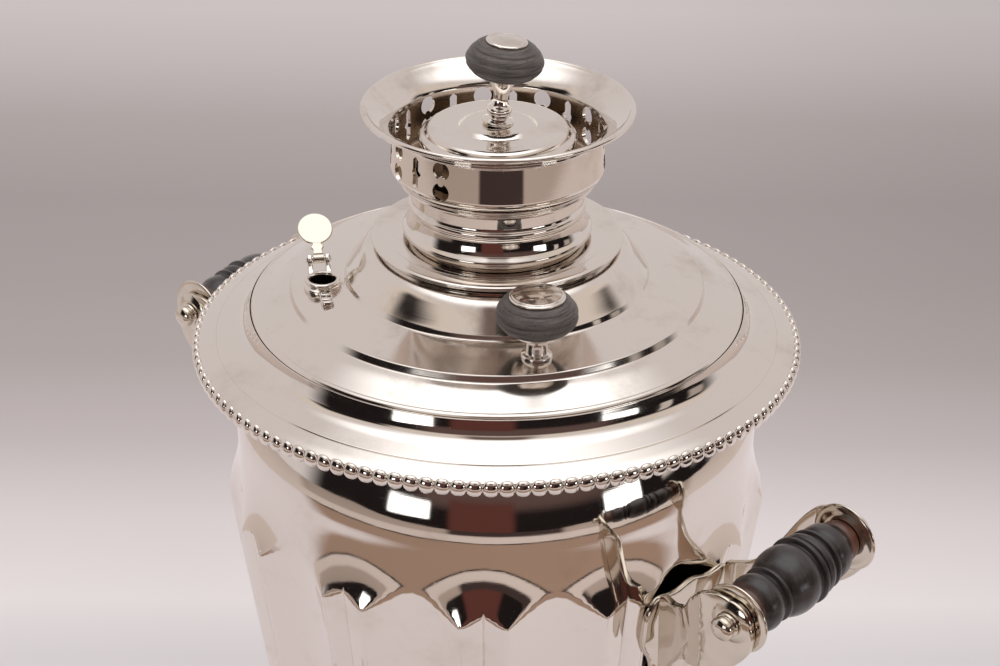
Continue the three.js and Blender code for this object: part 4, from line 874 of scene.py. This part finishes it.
def chimney_cap():
    """The cap's shell, and its knob, which leans a few degrees towards one side."""
    lathe("cap_disc_shell", [
        (2.6, 464.4, 0.1), (2.6, 465.5, 0.2), (14.2, 465.5, 0.8), (15.8, 464.6, 0.8), (16.6, 463.9, 0.6),
        (22, 463.8, 3), (28.0, 464.1, 0.8), (29.6, 463.4, 1.0), (30.6, 461.4, 0.6), (32.6, 460.7, 0.8),
        (33.2, 459.6, 0.6), (33.2, 458.4, 0.4), (29.3, 458.3, 0.2), (29.3, 446.3, 0.3), (27.9, 446.3, 0.3),
        (27.9, 462.3, 0.4), (2.6, 462.5, 0.1)],
        "chimney_cap", "lid_nickel", ("cap_shell",), 192)

    def tilted(name, corners, slot, node):
        """One piece of the knob, turned and then leant about the top of the shell."""
        points = lean(turned(corners, 96), UP * CAP_TOP, CAP_LEAN, TOWARD)
        make(name, [(points, *BAR)], "chimney_cap", slot, (node,))

    tilted("cap_knob_stem", [
        (0, 458.5), (2.2, 458.5, 0.1), (2.2, 465.7, 0.1), (6.6, 465.8, 0.3), (6.7, 467.0, 0.5),
        (5.4, 467.5, 0.3), (4.0, 468.3, 0.5), (5.3, 470.4, 1.2), (5.2, 472.2, 1.0), (3.7, 473.8, 0.6),
        (3.0, 476.2, 1.2), (3.4, 479.4, 1.6), (4.8, 482.8, 1.6), (7.2, 485.4, 1.0), (8.4, 486.1, 0.2),
        (0, 486.3)], "lid_nickel", "cap_stem")
    tilted("cap_knob_ball", [
        (0, 486.5), (9.4, 486.5, 0.5), (11.6, 487.1, 0.5), (13.5, 488.2, 0.7), (13.8, 489.0, 0.25),
        (15.0, 489.8, 0.6), (16.0, 491.3, 0.5), (15.6, 491.9, 0.2), (16.3, 492.7, 0.4), (16.4, 494.3, 0.7),
        (15.5, 495.3, 0.25), (15.5, 495.9, 0.25), (14.6, 497.5, 0.8), (13.1, 498.4, 0.25),
        (12.9, 499.2, 0.4), (10.8, 500.6, 0.6), (9.4, 501.0, 0.2), (0, 501.0)], "knob_wood", "cap_wood")
    tilted("cap_knob_disc", [
        (0, 501.1), (8.6, 501.1, 0.2), (8.8, 501.8, 0.4), (8.0, 502.3, 0.25), (7.4, 502.3, 0.2),
        (6.8, 502.1, 0.2), (4, 502.6, 1), (0, 502.7)], "lid_nickel", "cap_disc")


# Handles

HANDLE_REACH, HANDLE_LEVEL = 178.0, 324.0
GRIP_CENTRE = np.array([HANDLE_REACH, 0, HANDLE_LEVEL])
GRIP_SWING, GRIP_SHIFT = 5.0, (-4.5, 0.0, 1.0)
GRIP_TILT = {"right": 3.5, "left": 0.0}
GRIP_SLIMMING = np.array([0.94, 0.94, 1])
EAR_SPAN, EAR_HALF = 60, 1.5  # the unit of the ear's heights, and half the thickness of its sheet
PLATE_ROSE = 262


def arm_parts():
    """Two leaf-shaped arms: an ear outline seen from the side, bent outwards from plate to boss."""
    root = facet_reach(HANDLE_LEVEL)
    span = HANDLE_REACH - root
    ear = rounded([(x * span + root, z * EAR_SPAN + HANDLE_LEVEL, bend) for x, z, bend in [
        (0.0, -0.40, 2), (0.2, -0.36, 3), (0.4, -0.25, 5), (0.61, 0.02, 6), (0.74, 0.14, 6),
        (0.93, 0.18, 6), (1.1, 0.12, 6), (1.2, -0.03, 6), (1.16, -0.2, 6), (1.04, -0.34, 6),
        (0.86, -0.47, 6), (0.58, -0.57, 6), (0.33, -0.72, 6), (0.12, -0.96, 5), (0.0, -1.06, 2)]], steps=8)
    grid = pillow(ear, EAR_HALF, 1.0, rows=5)
    share = np.clip((grid[..., 0] - root) / (HANDLE_REACH - 15 - root), 0, 1.3)
    bend = np.interp(share, [0, 0.1, 0.5, 0.8, 1.0, 1.3], [18, 18.6, 24.8, 33.2, 36.8, 36.8])
    down = (grid[..., 1] - HANDLE_LEVEL) / EAR_SPAN
    ribs = 0.55 * np.cos((down * 9 + share * 4.5) * np.pi) * np.clip(1 - share * 0.7, 0.2, 1)
    outer = np.clip(grid[..., 2], 0, EAR_HALF) / EAR_HALF
    parts = []
    for side in (-1, 1):
        y = side * (bend + EAR_HALF + grid[..., 2] + ribs * outer)
        parts.append((np.stack([grid[..., 0], y, grid[..., 1]], -1), *STACK))
        rosette = turned([
            (0, 36.9), (9.6, 36.9, 0.3), (9.9, 39.2, 0.8), (8.2, 40.2, 0.8), (6.4, 40.9, 0.4),
            (0, 40.9)], 48)
        parts.append((rosette @ spin(-90 * side, "X").T + GRIP_CENTRE, *BAR))
    return parts


def plate_parts():
    """The back plate: a shield outline with fanned flutes and a small rosette, lying on the panel."""
    half = [
        (8.6, 242, 4), (15.8, 254.6, 5), (17.8, 262, 5), (25.4, 274, 5), (25.6, 290, 4), (20.4, 298, 4),
        (10, 295.6, 4)]
    painted_reflection = [(-y, z, bend) for y, z, bend in reversed(half)]
    outline = rounded([(0, 236, 4), *half, (0, 299, 4), *painted_reflection], steps=8)
    grid = pillow(divided(outline, 3), 1.6, 1.1, rows=5, crown=1.6)
    y, z, up = grid[..., 0], grid[..., 1], grid[..., 2]
    angle = np.arctan2(y, z - PLATE_ROSE)
    distance = np.hypot(y, z - PLATE_ROSE)
    flutes = 0.5 * np.cos(angle * 14) * np.clip((distance - 6) / 6, 0, 1) * np.clip((34 - distance) / 8, 0, 1)
    x = facet_reach(z) + 1.9 + np.where(up > 0, up + flutes, up)
    bud = turned([
        (0, 0), (5.2, 0, 0.6), (5.4, 1.4, 0.9), (3.6, 2.3, 0.4), (2.4, 2.2, 0.3), (1.6, 3.0, 0.7),
        (0, 3.2)], 40) @ spin(90, "Y").T
    bud = bud + np.array([facet_reach(PLATE_ROSE) + 3.6, 0, PLATE_ROSE])
    return [(np.stack([x, y, z], -1), *STACK), (bud, *BAR)]


def grip_profile():
    """Turned grip along its own length, from end to end."""
    return [
        (0, -34), (9.4, -34, 0.4), (10.2, -32.6, 0.8), (9.4, -30.4, 0.8), (9.8, -28.6, 0.5),
        (12.2, -26.6, 1.6), (13.2, -22.6, 2.4), (11.8, -18.6, 1.4), (10.4, -17.4, 0.3), (11.0, -16.8, 0.2),
        (12.6, -16.2, 0.3), (12.8, -15.0, 0.4), (11.4, -14.2, 0.3), (10.9, -13.6, 0.2), (13.4, -11.4, 1.6),
        (15.4, -6.4, 3), (15.6, -1.6, 2.4), (14.4, 2.4, 0.8), (13.4, 3.4, 0.2), (13.8, 3.9, 0.2),
        (15.6, 4.4, 0.4), (15.7, 6.0, 0.4), (14.0, 6.8, 0.3), (13.2, 7.6, 0.2), (14.4, 8.4, 0.4),
        (14.8, 10.6, 1.0), (13.6, 12.6, 0.5), (12.3, 13.4, 0.2), (12.8, 13.9, 0.2), (14.1, 14.4, 0.3),
        (14.1, 15.6, 0.3), (12.4, 16.4, 0.3), (11.8, 17.2, 0.2), (13.0, 19.4, 1.2), (12.8, 24.0, 2.0),
        (10.6, 27.6, 1.0), (9.6, 28.8, 0.4), (10.0, 31.0, 1.0), (9.2, 33.2, 0.6), (9.0, 34, 0.3), (0, 34)]


def settled(points, tilt):
    """A handle's points turned a little about the middle of its grip, and not at all at the plate.

    Between them the turn grows along a smooth bend, three times the share squared less twice it cubed.
    """
    root = facet_reach(HANDLE_LEVEL)
    share = np.clip((points[..., :1] - root) / (HANDLE_REACH - 14 - root), 0, 1)
    share = share**2 * (3 - 2 * share)
    swing = (spin(GRIP_SWING) @ spin(tilt, "X")).T
    swung = (points - GRIP_CENTRE) @ swing + GRIP_CENTRE + np.array(GRIP_SHIFT)
    return points + (swung - points) * share


def handles():
    """Both side handles: bracket, turned grip, flanges, rod and acorn nuts."""
    for side, turn in (("right", 0), ("left", 180)):
        whole = spin(turn).T

        def put(name, parts, slot, node):
            """One piece of this handle, drawn on the right and swung to its own side."""
            placed = [(settled(grid, GRIP_TILT[side]) @ whole, *closes) for grid, *closes in parts]
            make(name, placed, "vessel", slot, (node,))

        put(f"bracket_{side}", plate_parts() + arm_parts(), "handle_nickel", f"handle_bracket_{side}")
        grip = (turned(grip_profile(), 96) * GRIP_SLIMMING) @ spin(-90, "X").T
        put(f"grip_{side}", [(grip + GRIP_CENTRE, *BAR)], "grip_wood", f"handle_grip_{side}")
        bar = turned([(0, -42), (2.5, -42, 0.2), (2.5, 42, 0.2), (0, 42)], 24) @ spin(-90, "X").T
        put(f"rod_{side}", [(bar + GRIP_CENTRE, *BAR)], "dull_nickel", f"handle_rod_{side}")
        for end, sign in (("a", -1), ("b", 1)):
            stand = spin(-90 * sign, "X").T
            disc = turned([
                (2.9, 34.3, 0.1), (10.2, 34.3, 0.4), (12.4, 34.9, 0.8), (14.2, 34.8, 0.5),
                (15.0, 35.5, 0.6), (14.8, 36.3, 0.4), (13.6, 36.5, 0.2),
                (2.9, 36.5, 0.1)], 64, True) @ stand
            put(f"flange_{side}_{end}", [(disc + GRIP_CENTRE, *RING)], "handle_nickel",
                f"handle_flange_{side}_{end}")
            nut = turned([
                (2.8, 41.1, 0.1), (5.2, 41.1, 0.3), (5.5, 41.8, 0.3), (5.0, 42.6, 0.3), (4.5, 42.9, 0.3),
                (5.3, 44.2, 1.2), (4.8, 46.2, 1.2), (2.6, 47.3, 0.8), (0, 47.5)], 48) @ stand
            put(f"acorn_{side}_{end}", [(nut + GRIP_CENTRE, *BAR)], "handle_nickel",
                f"handle_nut_{side}_{end}")


# Tap

TAP_LEVEL = 152.0


def tap():
    """The keyed tap: flanged shank, tapered barrel, bent spout, plug and scrolled key."""
    reach = AXIS_Y - middle("tap_plug")[1]
    out = np.array([reach, 0, 0])
    wall_face = facet_reach(TAP_LEVEL)
    start, head = wall_face + 3.6, 18.3
    base = head + 4.3
    whole = spin(-90).T

    def put(name, parts, node, body="vessel"):
        """One piece, drawn to the right at the tap's level and swung to the front."""
        placed = [((grid + UP * TAP_LEVEL) @ whole, *closes) for grid, *closes in parts]
        make(name, placed, body, "tap_nickel", (node,))

    lobes = np.radians(np.arange(0, 360, 3.0))
    reaches = 21 * (0.93 + 0.07 * np.cos(8 * lobes))
    rose = reaches[:, None] * np.stack([np.cos(lobes), np.sin(lobes)], 1)
    rosette = pillow(rose, 1.3, 0.9, rows=5, crown=1.0)
    away = rosette[..., 2] + wall_face + 1.7 + RIDGE_SLOPE * rosette[..., 1]
    rosette = np.stack([away, rosette[..., 0], rosette[..., 1]], -1)
    put("tap_rosette", [(rosette, *STACK)], "tap_escutcheon")
    shank = turned([
        (0, start - 14), (6.5, start - 14, 0.4), (6.5, start - 0.2, 0.2), (10.6, start, 0.4),
        (10.8, start + 2.2, 0.8), (8.6, start + 3.4, 0.8), (7.8, start + 8, 2), (7.4, start + 20, 3),
        (8.2, start + 34, 3), (9.6, start + 40, 1.4), (9.8, start + 46, 1),
        (0, start + 46)], 64) @ spin(90, "Y").T
    barrel = turned([
        (8.6, -18, 0.3), (10.4, -18, 0.4), (10.8, -16, 0.6), (10.2, -14.6, 0.4), (11.2, -8, 3),
        (11.6, 8, 3), (11.2, 14.4, 0.6), (12, 15.4, 0.5), (12, 17.4, 0.5), (11, 18, 0.3), (8.8, 18, 0.2),
        (7.2, -17, 0.2)], 64, True)
    path = curve([
        (reach + 6, 0, 0), (reach + 16, 0, -0.5), (reach + 27, 0, -4.6), (reach + 34, 0, -13.4),
        (reach + 36, 0, -31.6)])
    share = np.linspace(0, 1, len(path))
    width = np.interp(share, [0, 0.2, 0.8, 0.9, 0.93, 1.0], [8.4, 7.4, 7.0, 7.2, 8.6, 8.6])
    spout = tube(path, width, 32)
    put("tap_casting", [(shank, *BAR), (barrel + out, *RING), (spout, *STACK)], "tap_body")
    plug = turned([
        (0, -21), (5.4, -21, 0.6), (5.6, -18, 0.2), (6.8, -17.8, 0.2), (8.3, 17.8, 0.2), (8.3, head, 0.1),
        (10.5, head, 0.4), (10.5, head + 2.6, 1), (7, head + 3.8, 1), (3.3, head + 4.2, 0.5),
        (3.2, head + 15.6, 0.5), (0, head + 16)], 48)
    put("tap_plug_cone", [(plug + out, *BAR)], "tap_plug", "tap_plug")
    post = turned([
        (0, 0), (5.3, 0, 0.4), (5.5, 1.6, 0.6), (4.4, 2.6, 0.6), (4.6, 11.4, 1), (3.4, 14, 1.6),
        (2.6, 21, 3), (2.2, 27, 1.4), (0, 29.6)], 40)
    out = out + UP * base
    parts = [(post + out, *BAR)]
    for sign in (-1, 1):
        scroll = curve([
            (0, 2.5, 6), (0, 8, 4.6), (0, 15, 5.4), (0, 19.6, 10.4), (0, 18.6, 17.4), (0, 13.0, 20.8),
            (0, 8.2, 18.2), (0, 8.4, 13.4), (0, 11.8, 11.8), (0, 13.6, 14.2)], 8)
        size = np.interp(np.linspace(0, 1, len(scroll)), [0, 0.12, 0.5, 0.9, 1], [2.2, 1.9, 1.8, 1.4, 1.9])
        band = tube(scroll * np.array([1, sign, 1]), size, 14)
        parts.append((band + out, *STACK))
    put("tap_scroll_key", parts, "tap_key", "tap_plug")


# Stage

# The floor's corners, towards the camera and across from the axis.
FLOOR_CORNERS, FLOOR_LEVEL = [(-3000, -2600), (1500, -2600), (1500, 2600), (-3000, 2600)], -0.2
# The floor's painted shade, lighter and darker bands that stand in for how light falls on it: metres behind
# the axis, then red, green and blue.
FLOOR_DEPTH = 2.0
FLOOR_PAINTED_SHADE = [
    (0.285, 213, 207, 209), (0.344, 226, 219, 219), (0.438, 215, 206, 207), (0.542, 190, 180, 181),
    (0.659, 171, 163, 161), (0.79, 164, 155, 154), (0.938, 161, 152, 151), (1.107, 173, 164, 163),
    (1.251, 193, 184, 184), (1.384, 205, 196, 197)]


def backdrop():
    """A pale floor with painted shade, darker far behind, and a painted reflection of the room, brown beyond
    its front edge, where only metal sees it.
    """
    mesh = bpy.data.meshes.new("floor")
    corners = np.array(FLOOR_CORNERS) @ [TOWARD, ACROSS]
    corners = (corners + np.array([0, AXIS_Y, FLOOR_LEVEL])) * MILLIMETRE
    mesh.from_pydata(corners.tolist(), [], [(0, 1, 2, 3)])
    floor = bpy.data.objects.new("floor", mesh)
    bpy.context.scene.collection.objects.link(floor)
    material, paint = new_finish("pale floor")
    ahead, across = paint.from_axis(TOWARD), paint.from_axis(ACROSS)
    stops = [(far / FLOOR_DEPTH, colour(*shade)) for far, *shade in FLOOR_PAINTED_SHADE]
    tone = paint.ramp(ahead * -1 / FLOOR_DEPTH, stops)
    # Painted shade: the floor seen by the camera darkens by up to 13 per cent towards one side.
    seen_with_painted_shade = paint.mix(across.step(0.05, 0.5) * 0.13, tone, (0.0, 0.0, 0.0, 1.0))
    # Painted reflection: for glossy rays the floor is painted pale, brown in front, with a dark ring and a
    # dark patch far ahead, standing in for the dark room round the viewer.
    away = (ahead * ahead + across * across * 0.66) ** 0.5
    front = ahead.step(0.06, 0.24)
    painted_reflection = paint.mix(away.step(0.47, 0.53) * front, colour(224, 216, 218), colour(160, 134, 118))
    painted_reflection = paint.mix(away.step(0.755, 0.765), painted_reflection, colour(212, 198, 192))
    painted_reflection = paint.mix(away.between(0.74, 0.775, 0.004) * front, painted_reflection, colour(36, 26, 22))
    sideways = (across / ahead).between(-0.34, 0.5, 0.04)
    beyond = paint.mix(sideways, colour(176, 160, 150), colour(58, 44, 42))
    painted_reflection = paint.mix(away.step(1.02, 1.12) * front, painted_reflection, beyond)
    glossy_ray = paint.add("ShaderNodeLightPath", output="Is Glossy Ray")
    shade = paint.mix(glossy_ray, seen_with_painted_shade, painted_reflection)
    paint.surface({"Base Color": shade}, {"Roughness": 0.8, "Metallic": 0.0, "Specular IOR Level": 0.1})
    mesh.materials.append(material)


CEILING, WINDOW = (1.7, 1.69, 1.7, 1.0), (3.2, 3.2, 3.2, 1.0)
SOFT_LIGHT = (0.72, 0.705, 0.695, 1.0)  # what lights everything but the metal
# Parts of the room that the metal shows: from, to and softness in degrees round from the viewer, the same
# upwards, and the colour. A later one lies over an earlier one.
ROOM_PATCHES = [
    (-104, 112, 12, 22, 47, 7, colour(226, 214, 204)),
    (-82, 104, 7, -18, 27, 5, colour(30, 25, 25)),
    (-88, -50, 5, 20, 38, 4, colour(34, 29, 29)),
    (-32, 50, 7, 8, 27, 4, colour(96, 76, 72)),
    (-19, 8, 2, -15, 12, 2, colour(94, 56, 50)),
    (-15, 18, 6, 33, 58, 7, colour(116, 98, 92)),
    (-44, -27, 1, -4, 9, 1, WINDOW),
    (46, 62, 1, -4, 8, 1, WINDOW),
    (74, 80, 1, 2, 20, 1, colour(206, 196, 188)),
    (90, 99, 2, -2, 16, 2, colour(176, 164, 156)),
]


def room():
    """The light of a pale room: bright ceiling, a dark side with two windows on the viewer's side."""
    world = bpy.data.worlds.new("room")
    bpy.context.scene.world = world
    world.use_nodes = True
    paint = Paint(world.node_tree)
    direction = paint.add("ShaderNodeTexCoord", output="Generated")
    ahead, across, rise = (paint.along(direction, line) for line in (TOWARD, ACROSS, UP))
    azimuth = across.sum("ARCTAN2", across, ahead) * math.degrees(1)
    height = rise.sum("ARCSINE", rise) * math.degrees(1)
    shade = paint.mix(height.step(48, 68), colour(222, 215, 214), CEILING)
    for low, high, soft, foot, top, edge, tone in ROOM_PATCHES:
        shade = paint.mix(azimuth.between(low, high, soft) * height.between(foot, top, edge), shade, tone)
    camera_ray = paint.add("ShaderNodeLightPath", output="Is Camera Ray")
    glossy_ray = paint.add("ShaderNodeLightPath", output="Is Glossy Ray")
    shade = paint.mix(glossy_ray, SOFT_LIGHT, shade)
    shade = paint.mix(camera_ray, shade, colour(196, 187, 188))
    light = paint.add("ShaderNodeBackground", None, {"Color": shade, "Strength": 1.0})
    paint.add("ShaderNodeOutputWorld", None, {"Surface": light})


# Each lamp's name, place, size and power.
LAMPS = [("overhead", (-0.3, 0.5, 2.3), 1.8, 20.0), ("side", (1.6, -0.4, 1.6), 1.2, 7.0)]
LAMP_AIM = np.array([0, AXIS_Y * MILLIMETRE, 0.3])


def lamps():
    """One broad lamp overhead and one weaker beside the camera, unseen by the metal."""
    for name, spot, size, power in LAMPS:
        data = bpy.data.lights.new(name, "AREA")
        data.size, data.energy = size, power
        lamp = bpy.data.objects.new(name, data)
        bpy.context.scene.collection.objects.link(lamp)
        lamp.location = spot
        x, y, z = LAMP_AIM - np.array(spot)
        lamp.rotation_euler = (math.atan2(math.hypot(x, y), -z), 0, math.atan2(y, x) - math.pi / 2)
        lamp.visible_glossy = False


CAMERA_AHEAD, CAMERA_UP = 983.6, 880.8
CAMERA_DOWN, CAMERA_ROLL = 27.6, 0.4


def camera():
    """The camera where the photograph's ellipses put it."""
    data = bpy.data.cameras.new("camera")
    data.sensor_width = 36.0
    data.lens = 92.16
    data.shift_x = 0.0035
    eye = bpy.data.objects.new("camera", data)
    bpy.context.scene.collection.objects.link(eye)
    eye.location = (TOWARD * CAMERA_AHEAD + np.array([0, AXIS_Y, CAMERA_UP])) * MILLIMETRE
    aim = Euler((math.radians(90 - CAMERA_DOWN), 0, VIEW_TURN), "XYZ").to_matrix()
    roll = Euler((0, 0, math.radians(CAMERA_ROLL)), "XYZ").to_matrix()
    eye.rotation_euler = (aim @ roll).to_euler("XYZ")
    bpy.context.scene.camera = eye
    bpy.context.scene.view_settings.view_transform = "Standard"


# Add-on


class SamovarSizes(bpy.types.PropertyGroup):
    """Sizes of the dressing that a user would change"""
    bead_count: bpy.props.IntProperty(
        name="Beads", description="Number of beads round the rim", default=128, min=24, max=240)
    bead_height: bpy.props.FloatProperty(
        name="Bead height", description="Height of one bead", default=0.0072, min=0.002, unit="LENGTH")
    line_depth: bpy.props.FloatProperty(
        name="Line depth", description="Depth of the fine lines along each strip of the wall", default=0.0005,
        min=0.0, max=0.001, unit="LENGTH", precision=5)
    panel_dish: bpy.props.FloatProperty(
        name="Panel dish",
        description="Depth of a wall panel's middle at its foot, as a share of the wall's radius",
        default=0.017, min=0.0, max=0.03, subtype="FACTOR")


class SamovarColours(bpy.types.PropertyGroup):
    """Colours of the dressing that a user would change"""
    bright_nickel: bpy.props.FloatVectorProperty(
        name="Bright nickel", description="Polished nickel", default=linear(229, 222, 215), subtype="COLOR")
    dull_nickel: bpy.props.FloatVectorProperty(
        name="Dull nickel", description="Nickel under tarnish", default=linear(180, 166, 150),
        subtype="COLOR")
    knob_wood: bpy.props.FloatVectorProperty(
        name="Knob wood", description="Pale streaks of the knobs", default=linear(92, 84, 80),
        subtype="COLOR")
    grip_wood: bpy.props.FloatVectorProperty(
        name="Grip wood", description="Pale streaks of the grips", default=linear(44, 36, 35),
        subtype="COLOR")


class Group:
    """What every operator here does: it runs its makers, and raises an error where nothing was made"""
    makers = ()

    def execute(self, context):
        known = len(bpy.data.objects)
        for maker in self.makers:
            maker()
        if len(bpy.data.objects) == known:
            raise RuntimeError(self.bl_label + " made no piece")
        return {"FINISHED"}


class SAMOVAR_OT_finishes(bpy.types.Operator):
    """Makes the metals and woods and gives them to the frame's own nodes"""
    bl_idname = "samovar.finishes"
    bl_label = "Finishes"

    def execute(self, context):
        if not finishes():
            raise RuntimeError("no finish was made")
        return {"FINISHED"}


class SAMOVAR_OT_stage(Group, bpy.types.Operator):
    """Sets the floor, the light of the room, two lamps and the camera"""
    bl_idname = "samovar.stage"
    bl_label = "Stage"
    makers = (camera, backdrop, room, lamps)


class SAMOVAR_OT_base(Group, bpy.types.Operator):
    """Turns the feet, plinth, stepped dome and draught neck"""
    bl_idname = "samovar.base"
    bl_label = "Base"
    makers = (feet, plinth, dome, neck)


class SAMOVAR_OT_bowl(Group, bpy.types.Operator):
    """Turns the bowl under the wall"""
    bl_idname = "samovar.bowl"
    bl_label = "Bowl"
    makers = (bowl,)


class SAMOVAR_OT_wall(Group, bpy.types.Operator):
    """Shapes the panelled wall and its round shoulder"""
    bl_idname = "samovar.wall"
    bl_label = "Wall"
    makers = (wall,)


class SAMOVAR_OT_rim(Group, bpy.types.Operator):
    """Turns the flanged rim"""
    bl_idname = "samovar.rim"
    bl_label = "Rim"
    makers = (rim,)


class SAMOVAR_OT_beads(Group, bpy.types.Operator):
    """Sets the string of beads under the rim's edge"""
    bl_idname = "samovar.beads"
    bl_label = "Beads"
    makers = (beads,)


class SAMOVAR_OT_lid(Group, bpy.types.Operator):
    """Turns the stepped lid and its top plate"""
    bl_idname = "samovar.lid"
    bl_label = "Lid"
    makers = (lid,)


class SAMOVAR_OT_knobs(Group, bpy.types.Operator):
    """Turns both lid knobs"""
    bl_idname = "samovar.knobs"
    bl_label = "Lid knobs"
    makers = (knobs,)


class SAMOVAR_OT_vent(Group, bpy.types.Operator):
    """Makes the steam vent with its pin and flap"""
    bl_idname = "samovar.vent"
    bl_label = "Steam vent"
    makers = (vent,)


class SAMOVAR_OT_crown(Group, bpy.types.Operator):
    """Turns the crown's collar and its pierced band"""
    bl_idname = "samovar.crown"
    bl_label = "Crown"
    makers = (crown_base, gallery)


class SAMOVAR_OT_cap(Group, bpy.types.Operator):
    """Turns the chimney cap and its leaning knob"""
    bl_idname = "samovar.cap"
    bl_label = "Chimney cap"
    makers = (chimney_cap,)


class SAMOVAR_OT_handles(Group, bpy.types.Operator):
    """Makes both side handles"""
    bl_idname = "samovar.handles"
    bl_label = "Side handles"
    makers = (handles,)


class SAMOVAR_OT_tap(Group, bpy.types.Operator):
    """Makes the keyed tap"""
    bl_idname = "samovar.tap"
    bl_label = "Tap"
    makers = (tap,)


OPERATORS = (SAMOVAR_OT_finishes, SAMOVAR_OT_stage, SAMOVAR_OT_base, SAMOVAR_OT_bowl, SAMOVAR_OT_wall,
             SAMOVAR_OT_rim, SAMOVAR_OT_beads, SAMOVAR_OT_lid, SAMOVAR_OT_knobs, SAMOVAR_OT_vent,
             SAMOVAR_OT_crown, SAMOVAR_OT_cap, SAMOVAR_OT_handles, SAMOVAR_OT_tap)


class SAMOVAR_PT_panel(bpy.types.Panel):
    """Buttons for each group of pieces, under the sizes and colours they use"""
    bl_label = "Samovar"
    bl_idname = "SAMOVAR_PT_panel"
    bl_space_type = "VIEW_3D"
    bl_region_type = "UI"
    bl_category = "Samovar"

    def draw(self, context):
        for group in (context.scene.samovar_sizes, context.scene.samovar_colours):
            for name in group.__annotations__:
                self.layout.prop(group, name)
        for kind in OPERATORS:
            self.layout.operator(kind.bl_idname)


CLASSES = (SamovarSizes, SamovarColours, *OPERATORS, SAMOVAR_PT_panel)


def register():
    """Registers the classes and gives the scene its sizes and colours."""
    for kind in CLASSES:
        bpy.utils.register_class(kind)
    bpy.types.Scene.samovar_sizes = bpy.props.PointerProperty(type=SamovarSizes)
    bpy.types.Scene.samovar_colours = bpy.props.PointerProperty(type=SamovarColours)


def unregister():
    """Takes them away again, in the opposite order."""
    del bpy.types.Scene.samovar_sizes, bpy.types.Scene.samovar_colours
    for kind in reversed(CLASSES):
        bpy.utils.unregister_class(kind)


def main():
    """Registers the add-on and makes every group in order."""
    register()
    for kind in OPERATORS:
        getattr(bpy.ops.samovar, kind.bl_idname.split(".")[1])()


if __name__ == "__main__":
    main()
